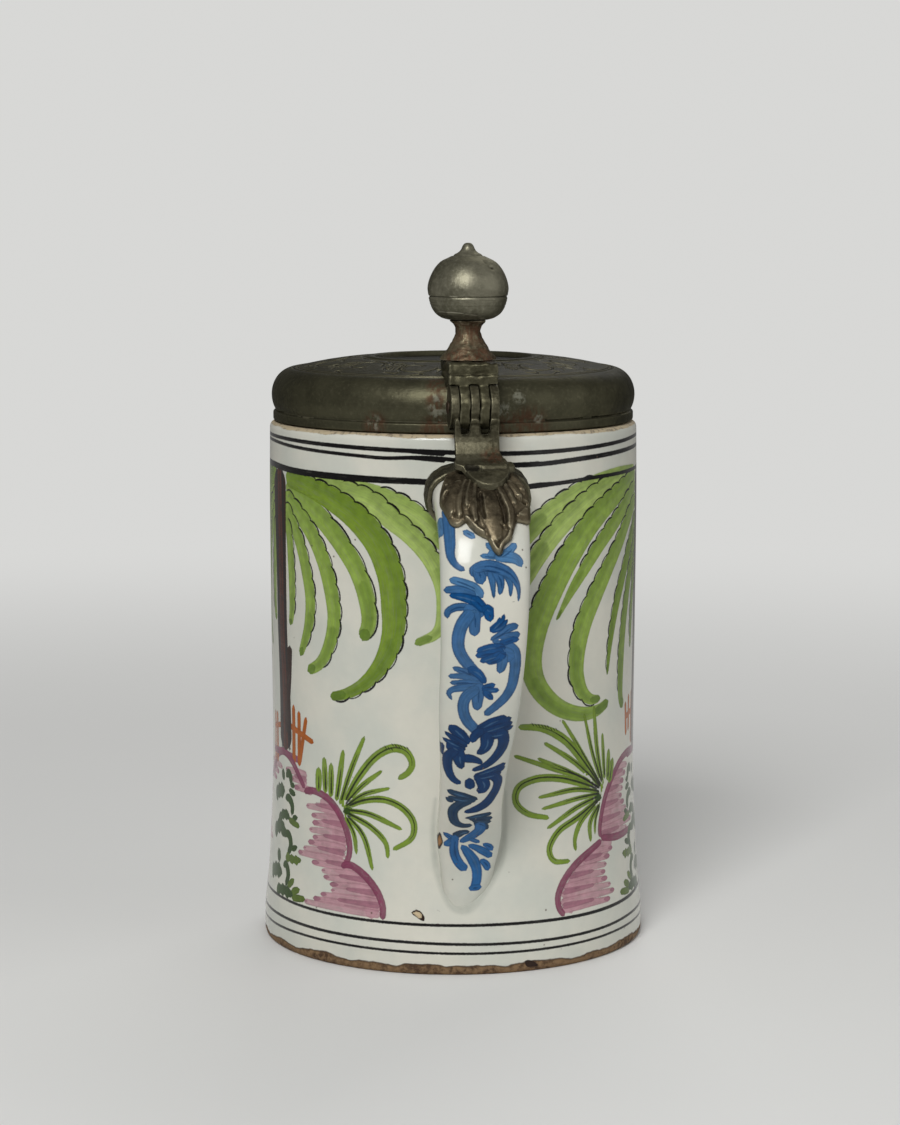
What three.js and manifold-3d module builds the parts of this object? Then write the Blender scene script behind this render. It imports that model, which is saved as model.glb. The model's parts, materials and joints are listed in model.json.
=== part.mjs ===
// A covered tankard: a tin-glazed earthenware cylinder with an ear handle, under a pewter lid with a ball
// thumbpiece.
// Millimetres, +Z up. The origin is the middle of the foot, and the handle points along -Y.
// Side outlines are drawn as (out, up): out is the distance from the vessel's axis towards the handle.

import * as THREE from "three";
import { mergeVertices } from "three/addons/utils/BufferGeometryUtils.js";
import Module from "manifold-3d";

const wasm = await Module();
wasm.setup();

// Vessel
const bodyHeight = 178.4;
const bodyRadius = 63.1;
const wallThickness = 5.6;
const floorThickness = 8;
const footStandOut = 2.7;
const footBandHeight = 9;
const footFlareHeight = 52;
const rimRounding = 2.2;

// Handle
const handleRootBelowRim = 18;
const handleTailAboveFoot = 22.5;
const handleReach = 36.5;
const handleWidth = 31;
const handleThickness = 18.4;
const sectionSquareness = 2.5;

// Gap left between pieces that touch
const fitGap = 0.3;

// Collar round the handle
const collarThickness = 1.5;
const collarWidth = 8.6;
const collarFromWall = 5.6;

// Leaf on the handle's back
const leafThickness = 1.8;
const leafLength = 25.6;
const leafDrift = 1;

// Hinge, which sits a little to one side of the handle's middle
const mountDrift = -1.3;
const knuckleRadius = 7.3;
const fixedKnuckleWidth = 2.7;
const movingKnuckleWidth = 3;
const knuckleSideGap = 0.35;
const knuckleRunningGap = 0.5;
const hingeAboveRim = 9.6;
const hingeFromLid = 0.8;
const pinRadius = 1.5;
const pinHeadRadius = 2.3;
const pinHeadThickness = 0.6;

// Strap from the hinge to the handle
const strapDrift = -0.5;
const strapWidth = 14.2;
const strapThickness = 2.6;
const strapFootLean = 2.8;
const tongueThickness = 1.8;
const tongueWidth = 16.6;
const tongueLength = 13.6;

// Lid
const lidInset = 0.9;
const lidWall = 2.2;
const lidFlangeHeight = 3.5;
const lidFlangeInset = 0.5;
const lidGrooveDepth = 0.9;
const lidSideHeight = 14.2;
const lidShoulder = 7.6;
const lidDomeRise = 3.5;
const lidBezelDepth = 3;
const lidBezelWall = 1.7;
const lidBezelPlay = 1.2;
const lidBeadRadius = 28;
const lidBeadWidth = 2.2;
const lidBeadHeight = 0.5;
const lidRecessDepth = 0.7;

// Bracket that ties the lid to the hinge and carries the thumbpiece
const bracketWidth = 15.7;
const bracketAboveShoulder = 5.8;
const bracketOverLid = 17.8;
const bracketNose = 2;
const bracketLedge = 0.7;

// Thumbpiece
const stemFromLidEdge = 6.2;
const stemFootRadius = 7.9;
const stemNeckRadius = 4.35;
const stemHeight = 12.5;
const ballRadius = 12.95;
const ballLowerHeight = 7.3;
const ballUpperHeight = 17.1;
const ballWall = 1.8;

// Facets
const bodySides = 60;
const ballSides = 32;
const hingeSides = 28;
const handleSides = 20;
const handleRings = 34;

// Places that follow from the sizes above
const lidRadius = bodyRadius - lidInset;
const lidBottom = bodyHeight + fitGap;
const lidShoulderUp = lidBottom + lidFlangeHeight + lidSideHeight;
const lidShoulderOut = lidRadius - lidShoulder;
const hingeOut = lidRadius + hingeFromLid + knuckleRadius;
const hingeUp = bodyHeight + hingeAboveRim;
const hingeWidth = 3 * fixedKnuckleWidth + 2 * movingKnuckleWidth + 4 * knuckleSideGap;
const handleRootUp = bodyHeight - handleRootBelowRim;
const collarNear = bodyRadius + collarFromWall;
const collarFar = collarNear + collarWidth;
const bracketTop = lidShoulderUp + bracketAboveShoulder;
const stemOut = lidRadius - stemFromLidEdge;
const stemBottom = bracketTop + fitGap;
const ballBottom = stemBottom + stemHeight + fitGap;
const ballSeam = ballBottom + ballLowerHeight;

// The wall's outer profile, from the foot up: [out, up].
const bodyOutline = [
  [bodyRadius + footStandOut, 1.6],
  [bodyRadius + footStandOut, footBandHeight],
  [bodyRadius + 0.55 * footStandOut, 0.42 * footFlareHeight],
  [bodyRadius + 0.2 * footStandOut, 0.75 * footFlareHeight],
  [bodyRadius - 0.2, footFlareHeight + 8],
  [bodyRadius, 0.62 * bodyHeight],
  [bodyRadius + 0.2, 0.85 * bodyHeight],
  [bodyRadius, bodyHeight - rimRounding],
];

function wallRadiusAt(up) {
  for (let i = 1; i < bodyOutline.length; i++) {
    const [lowOut, lowUp] = bodyOutline[i - 1];
    const [highOut, highUp] = bodyOutline[i];
    if (up <= highUp) return lowOut + ((highOut - lowOut) * Math.max(0, up - lowUp)) / (highUp - lowUp);
  }
  return bodyRadius;
}

// Solids

function solidFrom(vertices, triangles) {
  return new wasm.Manifold(
    new wasm.Mesh({
      numProp: 3,
      vertProperties: new Float32Array(vertices),
      triVerts: new Uint32Array(triangles),
    }),
  );
}

function solidOf(geometry) {
  const bare = geometry.clone();
  bare.deleteAttribute("normal");
  bare.deleteAttribute("uv");
  const merged = mergeVertices(bare, 1e-4);
  const corners = merged.index.array;
  const kept = [];
  for (let i = 0; i < corners.length; i += 3) {
    const [a, b, c] = [corners[i], corners[i + 1], corners[i + 2]];
    if (a !== b && b !== c && c !== a) kept.push(a, b, c);
  }
  return solidFrom(merged.attributes.position.array, kept);
}

// Turns an (out, up) profile, drawn anticlockwise from the axis back to it, round an upright axis.
function turned(profile, sides, centre = { x: 0, out: 0 }) {
  const points = profile.map(([out, up]) => new THREE.Vector2(out, up));
  const geometry = new THREE.LatheGeometry(points, sides);
  geometry.rotateX(Math.PI / 2);
  geometry.translate(centre.x, -centre.out, 0);
  return solidOf(geometry);
}

// Pushes a side outline, drawn as (out, up), along X from x = left to x = left + width.
function slab(outline, left, width) {
  const shape = new THREE.Shape(outline.map(([out, up]) => new THREE.Vector2(out, up)));
  const geometry = new THREE.ExtrudeGeometry(shape, { depth: width, bevelEnabled: false });
  const placed = new THREE.Matrix4().makeBasis(
    new THREE.Vector3(0, -1, 0),
    new THREE.Vector3(0, 0, 1),
    new THREE.Vector3(-1, 0, 0),
  );
  placed.setPosition(left + width, 0, 0);
  geometry.applyMatrix4(placed);
  return solidOf(geometry);
}

// Everything between two distances from the vessel's axis, on the handle's side.
function zone(near, far) {
  const [low, high] = [-bodyHeight, 3 * bodyHeight];
  const corners = [
    [near, low],
    [far, low],
    [far, high],
    [near, high],
  ];
  return slab(corners, -2 * handleWidth, 4 * handleWidth);
}

// A round bar along X about the hinge's axis.
function hingeBar(radius, left, width) {
  const geometry = new THREE.CylinderGeometry(radius, radius, width, hingeSides);
  geometry.rotateZ(Math.PI / 2);
  geometry.translate(left + width / 2, -hingeOut, hingeUp);
  return solidOf(geometry);
}

// Handle

// Stations along the handle's middle line, from the root in the wall to the end of the tail.
// out is a share of the reach beyond the wall, down runs from 0 at the root to 1 at the tail's end,
// wide and thick are shares of the handle's width and thickness, and drift is a sideways lean in mm.
const handleStations = [
  { out: -0.2, down: 0, wide: 1.04, thick: 1.16, drift: 0 },
  { out: 0.19, down: 0.004, wide: 0.99, thick: 0.96, drift: 0 },
  { out: 0.52, down: 0.024, wide: 0.96, thick: 0.83, drift: -0.1 },
  { out: 0.81, down: 0.092, wide: 0.93, thick: 0.75, drift: -0.3 },
  { out: 0.97, down: 0.195, wide: 0.91, thick: 0.7, drift: -0.7 },
  { out: 0.985, down: 0.34, wide: 0.87, thick: 0.66, drift: -1.3 },
  { out: 0.86, down: 0.485, wide: 0.82, thick: 0.62, drift: -2.2 },
  { out: 0.62, down: 0.62, wide: 0.71, thick: 0.58, drift: -2.6 },
  { out: 0.36, down: 0.73, wide: 0.67, thick: 0.54, drift: -2.6 },
  { out: 0.14, down: 0.82, wide: 0.68, thick: 0.46, drift: -2.3 },
  { out: 0.03, down: 0.9, wide: 0.56, thick: 0.32, drift: -2.4 },
  { out: -0.02, down: 0.965, wide: 0.33, thick: 0.22, drift: -3.4 },
  { out: -0.04, down: 1, wide: 0.12, thick: 0.12, drift: -4.4 },
];

function handlePoint(station) {
  const up = handleRootUp - station.down * (handleRootUp - handleTailAboveFoot);
  const wall = station.down < 0.5 ? bodyRadius : wallRadiusAt(up);
  return new THREE.Vector3(station.drift, -(wall + station.out * handleReach), up);
}

function handleSize(station) {
  return new THREE.Vector3((station.wide * handleWidth) / 2, (station.thick * handleThickness) / 2, 0);
}

const handleLine = new THREE.CatmullRomCurve3(handleStations.map(handlePoint));
const handleSizes = new THREE.CatmullRomCurve3(handleStations.map(handleSize));

// The handle's middle, the direction out of its back, and its half width and thickness, for t from 0 to 1.
function handleAt(t) {
  const along = handleLine.getTangent(t);
  const size = handleSizes.getPoint(t);
  return {
    middle: handleLine.getPoint(t),
    back: new THREE.Vector3(0, along.z, -along.y).normalize(),
    halfWidth: size.x,
    halfThickness: size.y,
  };
}

// A point in the middle of the handle's back, raised by the offset, as (out, up).
function backPoint(t, offset) {
  const { middle, back, halfThickness } = handleAt(t);
  const point = middle.addScaledVector(back, halfThickness + offset);
  return [-point.y, point.z];
}

// The first t, in thousandths, at which the raised back lies this far from the vessel's axis.
function backParameterAt(out, offset) {
  let step = 0;
  while (step < 1000 && backPoint(step / 1000, offset)[0] < out) step++;
  return step / 1000;
}

// Points round the handle's section, grown by the offset, from one side over the back through the angle.
function sectionRing(t, offset, angle, count) {
  const { middle, back, halfWidth, halfThickness } = handleAt(t);
  const squared = (value) => Math.sign(value) * Math.abs(value) ** (2 / sectionSquareness);
  const ring = [];
  for (let i = 0; i < count; i++) {
    const across = squared(Math.cos((angle * i) / count)) * (halfWidth + offset);
    const outward = squared(Math.sin((angle * i) / count)) * (halfThickness + offset);
    ring.push(middle.clone().add(new THREE.Vector3(across, 0, 0)).addScaledVector(back, outward));
  }
  return ring;
}

// Joins rings of points into one closed solid with flat ends.
function loft(rings) {
  const count = rings[0].length;
  const points = rings.flat();
  const triangles = [];
  for (let r = 1; r < rings.length; r++) {
    for (let i = 0; i < count; i++) {
      const next = (i + 1) % count;
      const [a, b] = [(r - 1) * count + i, (r - 1) * count + next];
      const [c, d] = [r * count + i, r * count + next];
      triangles.push(a, b, d, a, d, c);
    }
  }
  for (const last of [false, true]) {
    const first = last ? (rings.length - 1) * count : 0;
    const ring = points.slice(first, first + count);
    const hub = points.length;
    points.push(ring.reduce((sum, point) => sum.add(point), new THREE.Vector3()).divideScalar(count));
    for (let i = 0; i < count; i++) {
      const [a, b] = [first + i, first + ((i + 1) % count)];
      triangles.push(...(last ? [hub, a, b] : [hub, b, a]));
    }
  }
  return solidFrom(points.flatMap((point) => point.toArray()), triangles);
}

// The handle's form grown by the offset, from its root to t = end.
function handleForm(offset, end = 1, rings = handleRings) {
  const list = [];
  for (let i = 0; i <= rings; i++) {
    list.push(sectionRing((end * i) / rings, offset, 2 * Math.PI, handleSides));
  }
  return loft(list);
}

// Only the back of that form: the outer half of each section, closed across its middle.
function handleBackForm(offset, end, rings) {
  const list = [];
  for (let i = 0; i <= rings; i++) {
    const t = (end * i) / rings;
    const ring = sectionRing(t, offset, Math.PI, handleSides);
    const { middle, halfWidth } = handleAt(t);
    ring.push(new THREE.Vector3(middle.x - halfWidth - offset, ring[0].y, ring[0].z));
    list.push(ring);
  }
  return loft(list);
}

// The space that the wall takes up, grown by the gap, without its hollow.
function wallForm(gap) {
  const outline = bodyOutline.map(([out, up]) => [out + gap, up]);
  return turned([[0, bodyOutline[0][1]], ...outline, [0, bodyHeight - rimRounding]], bodySides);
}

// Vessel pieces

function faienceBody() {
  const inner = bodyRadius - wallThickness;
  const lipUp = bodyHeight - rimRounding / 3;
  const lipOut = rimRounding / 4;
  return turned(
    [
      [0, 0],
      [bodyRadius + footStandOut / 2, 0],
      ...bodyOutline,
      [bodyRadius - lipOut, lipUp],
      [bodyRadius - rimRounding, bodyHeight],
      [inner + rimRounding, bodyHeight],
      [inner + lipOut, lipUp],
      [inner, bodyHeight - rimRounding],
      [inner, 2 * floorThickness],
      [inner - 0.3 * floorThickness, 1.4 * floorThickness],
      [inner - floorThickness, floorThickness],
      [0, floorThickness],
    ],
    bodySides,
  );
}

function faienceHandle() {
  return handleForm(0).subtract(wallForm(fitGap));
}

// The collar's band, grown on every side by the gap and left whole inside.
function collarForm(gap) {
  const band = handleForm(fitGap + collarThickness + gap, 0.4, 16);
  return band.intersect(zone(collarNear - gap, collarFar + gap));
}

function handleCollar() {
  return collarForm(0).subtract(handleForm(fitGap, 0.5, 20));
}

// The leaf's outline from the front, below its straight top: x as a share of the handle's half width, then
// the distance below the top of the handle's root as a share of the leaf's length.
const leafOutline = [
  [0.76, 0.17],
  [0.9, 0.3],
  [0.94, 0.45],
  [0.9, 0.6],
  [0.64, 0.575],
  [0.55, 0.62],
  [0.49, 0.72],
  [0.4, 0.8],
  [0.27, 0.86],
  [0.24, 0.94],
  [0.16, 1],
  [0.03, 0.92],
  [-0.06, 0.82],
  [-0.17, 0.75],
  [-0.36, 0.68],
  [-0.46, 0.58],
  [-0.56, 0.63],
  [-0.71, 0.63],
  [-0.88, 0.54],
  [-0.93, 0.42],
  [-0.9, 0.32],
  [-0.78, 0.2],
  [-0.7, 0.1],
];

function palmette() {
  const rootTop = handleRootUp + handleThickness / 2;
  const above = -handleThickness / leafLength;
  const shape = new THREE.Shape(
    [...leafOutline, [leafOutline.at(-1)[0], above], [leafOutline[0][0], above]].map(
      ([across, down]) =>
        new THREE.Vector2(leafDrift + (across * handleWidth) / 2, rootTop - down * leafLength),
    ),
  );
  const stamp = new THREE.ExtrudeGeometry(shape, { depth: 3 * handleReach, bevelEnabled: false });
  stamp.rotateX(Math.PI / 2);
  stamp.translate(0, -collarFar - fitGap, 0);
  const shell = handleBackForm(fitGap + leafThickness, 0.6, 26);
  return shell.subtract(handleForm(fitGap, 0.7, 34)).intersect(solidOf(stamp));
}

// Hinge

// The knuckles from left to right: three on the strap, and two on the bracket between them.
const knuckles = [];
for (let left = mountDrift - hingeWidth / 2; knuckles.length < 5; ) {
  const onLid = knuckles.length % 2 === 1;
  const width = onLid ? movingKnuckleWidth : fixedKnuckleWidth;
  knuckles.push({ left, width, onLid });
  left += width + knuckleSideGap;
}

function addKnuckles(solid, onLid) {
  return knuckles
    .filter((knuckle) => knuckle.onLid === onLid)
    .reduce((sum, { left, width }) => sum.add(hingeBar(knuckleRadius, left, width)), solid);
}

// Cuts room for the other piece's knuckles to turn in.
function clearKnuckles(solid, onLid) {
  return knuckles
    .filter((knuckle) => knuckle.onLid === onLid)
    .reduce((rest, { left, width }) => {
      const room = hingeBar(
        knuckleRadius + knuckleRunningGap,
        left - knuckleSideGap,
        width + 2 * knuckleSideGap,
      );
      return rest.subtract(room);
    }, solid);
}

function borePin(solid) {
  return solid.subtract(hingeBar(pinRadius + fitGap, mountDrift - hingeWidth, 2 * hingeWidth));
}

// The tongue on the strap's end, which lies on the leaf and ends in half a circle.
function strapTongue() {
  const low = 2 * fitGap + leafThickness;
  const start = backParameterAt(collarFar + fitGap, low);
  const end = backParameterAt(collarFar + tongueLength, low);
  const steps = 8;
  const under = [];
  const over = [];
  for (let i = 0; i <= steps; i++) {
    const t = start + ((end - start) * i) / steps;
    under.push(backPoint(t, low));
    over.unshift(backPoint(t, low + tongueThickness));
  }
  const layer = slab([...under, ...over], -tongueWidth / 2, tongueWidth);
  const plan = new THREE.Shape();
  const middle = collarFar + tongueLength - tongueWidth / 2;
  plan.absellipse(0, middle, tongueWidth / 2, tongueWidth / 2, 0, Math.PI, false);
  plan.lineTo(-tongueWidth / 2, 0);
  plan.lineTo(tongueWidth / 2, 0);
  const stamp = new THREE.ExtrudeGeometry(plan, { depth: 3 * bodyHeight, bevelEnabled: false });
  stamp.rotateX(Math.PI);
  stamp.translate(0, 0, 2 * bodyHeight);
  return layer.intersect(solidOf(stamp));
}

// The strap's neck hangs from the barrel, a little hollow in front, and bends out over the top of the leaf.
function hingeStrap() {
  const face = hingeOut + knuckleRadius;
  const rear = face - strapThickness;
  const tongueBase = 2 * fitGap + leafThickness;
  const footOut = Math.max(face, collarFar + fitGap) + strapFootLean;
  const leafTopAt = (out) => backPoint(backParameterAt(out, tongueBase), tongueBase)[1];
  const heel = leafTopAt(footOut - strapThickness);
  const foot = leafTopAt(footOut);
  const neck = slab(
    [
      [rear - 2, hingeUp - knuckleRadius / 2],
      [rear - 0.8, heel + 3.4 * strapThickness],
      [rear - 0.6, heel + 2 * strapThickness],
      [rear, heel + 0.8 * strapThickness],
      [footOut - strapThickness, heel],
      [footOut, foot],
      [footOut + 0.2, foot + tongueThickness],
      [footOut - 0.8, foot + tongueThickness + 0.6],
      [face + 0.1, foot + 1.9 * strapThickness],
      [face - 0.6, foot + 3.2 * strapThickness],
      [face - 0.2, hingeUp - knuckleRadius / 2],
    ],
    strapDrift - strapWidth / 2,
    strapWidth,
  );
  const barrel = addKnuckles(neck, false).add(strapTongue());
  return borePin(clearKnuckles(barrel, true)).subtract(collarForm(fitGap));
}

function hingePin() {
  const reach = hingeWidth / 2 + fitGap;
  return hingeBar(pinRadius, mountDrift - reach, 2 * reach)
    .add(hingeBar(pinHeadRadius, mountDrift - reach - pinHeadThickness, pinHeadThickness))
    .add(hingeBar(pinHeadRadius, mountDrift + reach, pinHeadThickness));
}

// Lid pieces

// The lid's outer profile from the flange up to its shoulder, raised and grown by the gap.
function lidSide(gap) {
  const flange = lidRadius - lidFlangeInset;
  const sideBottom = lidBottom + lidFlangeHeight;
  const undercut = -0.62;
  const low = Math.sin(undercut);
  const side = [
    [flange + gap, lidBottom + lidFlangeInset],
    [flange + gap, sideBottom - lidFlangeInset],
    [flange - lidGrooveDepth + gap, sideBottom],
  ];
  const steps = 8;
  for (let i = 0; i <= steps; i++) {
    const angle = undercut + ((Math.PI / 2 - undercut) * i) / steps;
    const up = sideBottom + (lidSideHeight * (Math.sin(angle) - low)) / (1 - low);
    side.push([lidShoulderOut + lidShoulder * Math.cos(angle) + gap, up + gap]);
  }
  return side;
}

// The dome inside the shoulder, from its foot to the bead, as heights above the shoulder.
function lidDome(gap) {
  const steps = 5;
  const dome = [];
  for (let i = 1; i <= steps; i++) {
    const share = i / steps;
    const out = lidShoulderOut + (lidBeadRadius + lidBeadWidth - lidShoulderOut) * share;
    dome.push([out + gap, lidShoulderUp + lidDomeRise * Math.sin((share * Math.PI) / 2) + gap]);
  }
  return dome;
}

function lidShell() {
  const bezelOuter = bodyRadius - wallThickness - lidBezelPlay;
  const bezelInner = bezelOuter - lidBezelWall;
  const bezelLow = lidBottom - lidBezelDepth;
  const hollowOut = lidRadius - 1.8 * lidWall;
  const crownUp = lidShoulderUp + lidDomeRise;
  const beadInner = lidBeadRadius - lidBeadWidth / 2;
  return turned(
    [
      [0, crownUp - lidRecessDepth - lidWall],
      [beadInner, crownUp - lidRecessDepth - lidWall],
      [lidShoulderOut - 2 * lidWall, lidShoulderUp - lidWall / 2],
      [hollowOut - lidWall, lidShoulderUp - 1.6 * lidWall],
      [hollowOut, lidShoulderUp - 3 * lidWall],
      [hollowOut, lidBottom + lidFlangeHeight],
      [bezelInner, lidBottom + lidFlangeHeight / 2],
      [bezelInner, bezelLow],
      [bezelOuter, bezelLow],
      [bezelOuter, lidBottom],
      [lidRadius - 2 * lidFlangeInset, lidBottom],
      ...lidSide(0),
      ...lidDome(0),
      [lidBeadRadius + lidBeadWidth / 2, crownUp + lidBeadHeight],
      [beadInner, crownUp + lidBeadHeight],
      [beadInner - lidBeadWidth / 2, crownUp - lidRecessDepth],
      [0, crownUp - lidRecessDepth],
    ],
    bodySides,
  );
}

function lidBracket() {
  const inner = lidRadius - bracketOverLid;
  const nose = hingeOut + bracketNose;
  const step = bracketTop - 0.6 * bracketAboveShoulder;
  const block = slab(
    [
      [inner, lidShoulderUp - lidWall],
      [lidRadius, lidShoulderUp - lidWall],
      [hingeOut, hingeUp],
      [nose + bracketLedge, hingeUp + knuckleRadius / 2],
      [nose + bracketLedge, step - bracketLedge],
      [nose, step],
      [nose, bracketTop - bracketLedge],
      [nose - bracketLedge, bracketTop],
      [inner + bracketLedge, bracketTop],
      [inner, bracketTop - bracketLedge],
    ],
    mountDrift - bracketWidth / 2,
    bracketWidth,
  );
  const crownUp = lidShoulderUp + lidDomeRise + fitGap;
  const seat = turned([[0, lidBottom], ...lidSide(fitGap), ...lidDome(fitGap), [0, crownUp]], bodySides);
  const margin = hingeBar(
    knuckleRadius + knuckleRunningGap,
    mountDrift + hingeWidth / 2,
    bracketWidth,
  ).add(
    hingeBar(
      knuckleRadius + knuckleRunningGap,
      mountDrift - hingeWidth / 2 - bracketWidth,
      bracketWidth,
    ),
  );
  return borePin(addKnuckles(clearKnuckles(block, false).subtract(margin), true)).subtract(seat);
}

function thumbStem() {
  const profile = [
    [stemFootRadius, 0],
    [stemFootRadius - 0.1, 0.06],
    [stemFootRadius - 1.3, 0.17],
    [stemNeckRadius + 1.4, 0.33],
    [stemNeckRadius + 0.5, 0.52],
    [stemNeckRadius, 0.68],
    [stemNeckRadius, 0.79],
    [stemNeckRadius + 0.6, 0.9],
    [stemNeckRadius + 2, 1],
  ].map(([out, up]) => [out, stemBottom + up * stemHeight]);
  const axis = { x: mountDrift, out: stemOut };
  return turned([[0, stemBottom], ...profile, [0, stemBottom + stemHeight]], ballSides, axis);
}

// The ball's outline: out as a share of its radius, up as a share of the lower or the upper half's height.
const ballLowerOutline = [
  [0.5, 0],
  [0.66, 0.08],
  [0.82, 0.28],
  [0.92, 0.55],
  [0.985, 1],
];
const ballUpperOutline = [
  [0.985, 0],
  [1, 0.15],
  [0.95, 0.34],
  [0.82, 0.51],
  [0.6, 0.66],
  [0.36, 0.76],
  [0.22, 0.82],
  [0.15, 0.88],
  [0.12, 0.95],
  [0, 1],
];

function thumbBallLower() {
  const outer = ballLowerOutline.map(([out, up]) => [out * ballRadius, ballBottom + up * ballLowerHeight]);
  const hollow = ballRadius - ballWall;
  return turned(
    [
      [0, ballBottom],
      ...outer,
      [hollow, ballSeam],
      [0.84 * hollow, ballBottom + Math.max(ballWall, 0.5 * ballLowerHeight)],
      [0.5 * hollow, ballBottom + ballWall],
      [0, ballBottom + ballWall],
    ],
    ballSides,
    { x: mountDrift, out: stemOut },
  );
}

function thumbBallUpper() {
  const base = ballSeam + fitGap;
  const outer = ballUpperOutline.map(([out, up]) => [out * ballRadius, base + up * ballUpperHeight]);
  const hollow = ballRadius - ballWall;
  return turned(
    [
      [0, base + 0.56 * ballUpperHeight],
      [0.5 * hollow, base + 0.5 * ballUpperHeight],
      [0.88 * hollow, base + 0.28 * ballUpperHeight],
      [hollow, base],
      ...outer,
    ],
    ballSides,
    { x: mountDrift, out: stemOut },
  );
}

// Assembly

function meshOf(name, solid, material) {
  const { vertProperties, triVerts } = solid.getMesh();
  const geometry = new THREE.BufferGeometry();
  geometry.setAttribute("position", new THREE.BufferAttribute(vertProperties, 3));
  geometry.setIndex(new THREE.BufferAttribute(triVerts, 1));
  geometry.computeVertexNormals();
  const mesh = new THREE.Mesh(geometry, material);
  mesh.name = name;
  return mesh;
}

const glaze = new THREE.MeshStandardMaterial({ color: 0xdad8ce, roughness: 0.18, metalness: 0 });
const pewter = new THREE.MeshStandardMaterial({ color: 0x5b594f, roughness: 0.5, metalness: 0.8 });
const iron = new THREE.MeshStandardMaterial({ color: 0x4a443c, roughness: 0.6, metalness: 0.8 });

const vessel = new THREE.Group();
vessel.add(
  meshOf("faience_body", faienceBody(), glaze),
  meshOf("faience_handle", faienceHandle(), glaze),
  meshOf("handle_collar", handleCollar(), pewter),
  meshOf("palmette", palmette(), pewter),
  meshOf("hinge_strap", hingeStrap(), pewter),
  meshOf("hinge_pin", hingePin(), iron),
);

const lid = new THREE.Group();
lid.add(
  meshOf("lid_shell", lidShell(), pewter),
  meshOf("lid_bracket", lidBracket(), pewter),
  meshOf("thumb_stem", thumbStem(), pewter),
  meshOf("thumb_ball_lower", thumbBallLower(), pewter),
  meshOf("thumb_ball_upper", thumbBallUpper(), pewter),
);

const tankard = new THREE.Group();
tankard.add(vessel, lid);
export default tankard;
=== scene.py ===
"""A covered tankard of tin-glazed earthenware with pewter mounts.

The wall is painted in high-fired colours with palms on rocks, shrubs and a fence, and the ear handle with a
blue leaf scroll. The pewter lid turns on a hinge of five knuckles and carries a ball thumbpiece. Shapes are
worked out in millimetres and become metres when a mesh is made.
"""

from __future__ import annotations

import json
import logging
import math
from dataclasses import dataclass, field, replace
from enum import Enum
from functools import reduce
from typing import Sequence, Union

import bmesh
import bpy
import numpy as np
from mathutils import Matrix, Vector, geometry, noise

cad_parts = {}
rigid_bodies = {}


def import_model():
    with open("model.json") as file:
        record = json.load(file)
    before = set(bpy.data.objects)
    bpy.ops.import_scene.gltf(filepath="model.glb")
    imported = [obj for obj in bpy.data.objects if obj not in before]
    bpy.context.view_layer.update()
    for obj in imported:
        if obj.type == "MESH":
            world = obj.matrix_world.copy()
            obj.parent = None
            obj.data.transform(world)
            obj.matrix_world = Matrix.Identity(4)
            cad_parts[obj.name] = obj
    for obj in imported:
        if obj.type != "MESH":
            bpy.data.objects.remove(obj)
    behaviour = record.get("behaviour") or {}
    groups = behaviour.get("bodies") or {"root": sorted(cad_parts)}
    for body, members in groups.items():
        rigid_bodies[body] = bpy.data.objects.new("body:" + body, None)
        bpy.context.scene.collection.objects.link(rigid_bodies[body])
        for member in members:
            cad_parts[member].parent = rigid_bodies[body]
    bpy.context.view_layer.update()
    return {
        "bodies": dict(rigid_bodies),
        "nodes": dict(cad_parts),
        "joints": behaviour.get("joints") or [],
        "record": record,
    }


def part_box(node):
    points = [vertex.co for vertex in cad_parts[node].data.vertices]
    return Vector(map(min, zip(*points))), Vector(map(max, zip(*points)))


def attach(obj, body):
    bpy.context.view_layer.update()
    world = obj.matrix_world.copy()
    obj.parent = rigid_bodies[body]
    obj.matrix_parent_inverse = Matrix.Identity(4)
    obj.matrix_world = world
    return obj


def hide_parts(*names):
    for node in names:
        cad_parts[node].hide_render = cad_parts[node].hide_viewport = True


MM = 0.001
log = logging.getLogger("tankard")

Piece = bpy.types.Object
Point = tuple[float, float]
Path = tuple[Point, ...]
Colour = tuple[float, float, float, float]


class Rider(Enum):
    """The two bodies of the tankard."""

    VESSEL = "vessel"
    LID = "lid"


class Slot(Enum):
    """Material slots of the record."""

    BODY = "glazed_body"
    HANDLE = "glazed_handle"
    MOUNT = "pewter_mount"
    LID = "pewter_lid"
    THUMBPIECE = "pewter_thumbpiece"
    PIN = "iron_pin"


def linear(red: float, green: float, blue: float) -> Colour:
    """Turns a colour in screen values of 0 to 255 into a linear one.

    Args:
        red: red on the screen.
        green: green on the screen.
        blue: blue on the screen.

    Returns:
        The linear colour with an alpha of 1.
    """
    parts = [value / 255 for value in (red, green, blue)]
    curved = [part / 12.92 if part <= 0.04045 else ((part + 0.055) / 1.055) ** 2.4 for part in parts]
    return (*curved, 1.0)


class Pigment(Enum):
    """The painter's colours."""

    LEAF_PALE = linear(150, 170, 92)
    LEAF_LIGHT = linear(128, 152, 66)
    LEAF = linear(108, 132, 42)
    LEAF_DARK = linear(74, 100, 26)
    CHAIN = linear(36, 62, 4)
    CHAIN_LIGHT = linear(76, 96, 26)
    LINE = linear(12, 10, 11)
    BARK = linear(38, 14, 2)
    BARK_LIGHT = linear(86, 34, 12)
    ROCK_LINE = linear(116, 52, 78)
    ROCK_WASH = linear(170, 130, 138)
    ROCK_DEEP = linear(132, 78, 98)
    FENCE = linear(156, 80, 12)
    BLUE_DEEP = linear(0, 46, 90)
    BLUE_MID = linear(10, 66, 116)
    BLUE = linear(48, 88, 130)
    BLUE_BRIGHT = linear(32, 86, 138)
    BLUE_PALE = linear(66, 108, 148)
    SLATE = linear(26, 54, 80)
    # grey for the painted shade round the handle's tail
    PAINTED_SHADE = linear(150, 154, 144)
    CLAY = linear(150, 108, 66)
    PIT = linear(40, 26, 18)
    BUFF = linear(186, 168, 136)
    YELLOW = linear(206, 158, 56)


# Shader and geometry nodes


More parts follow.
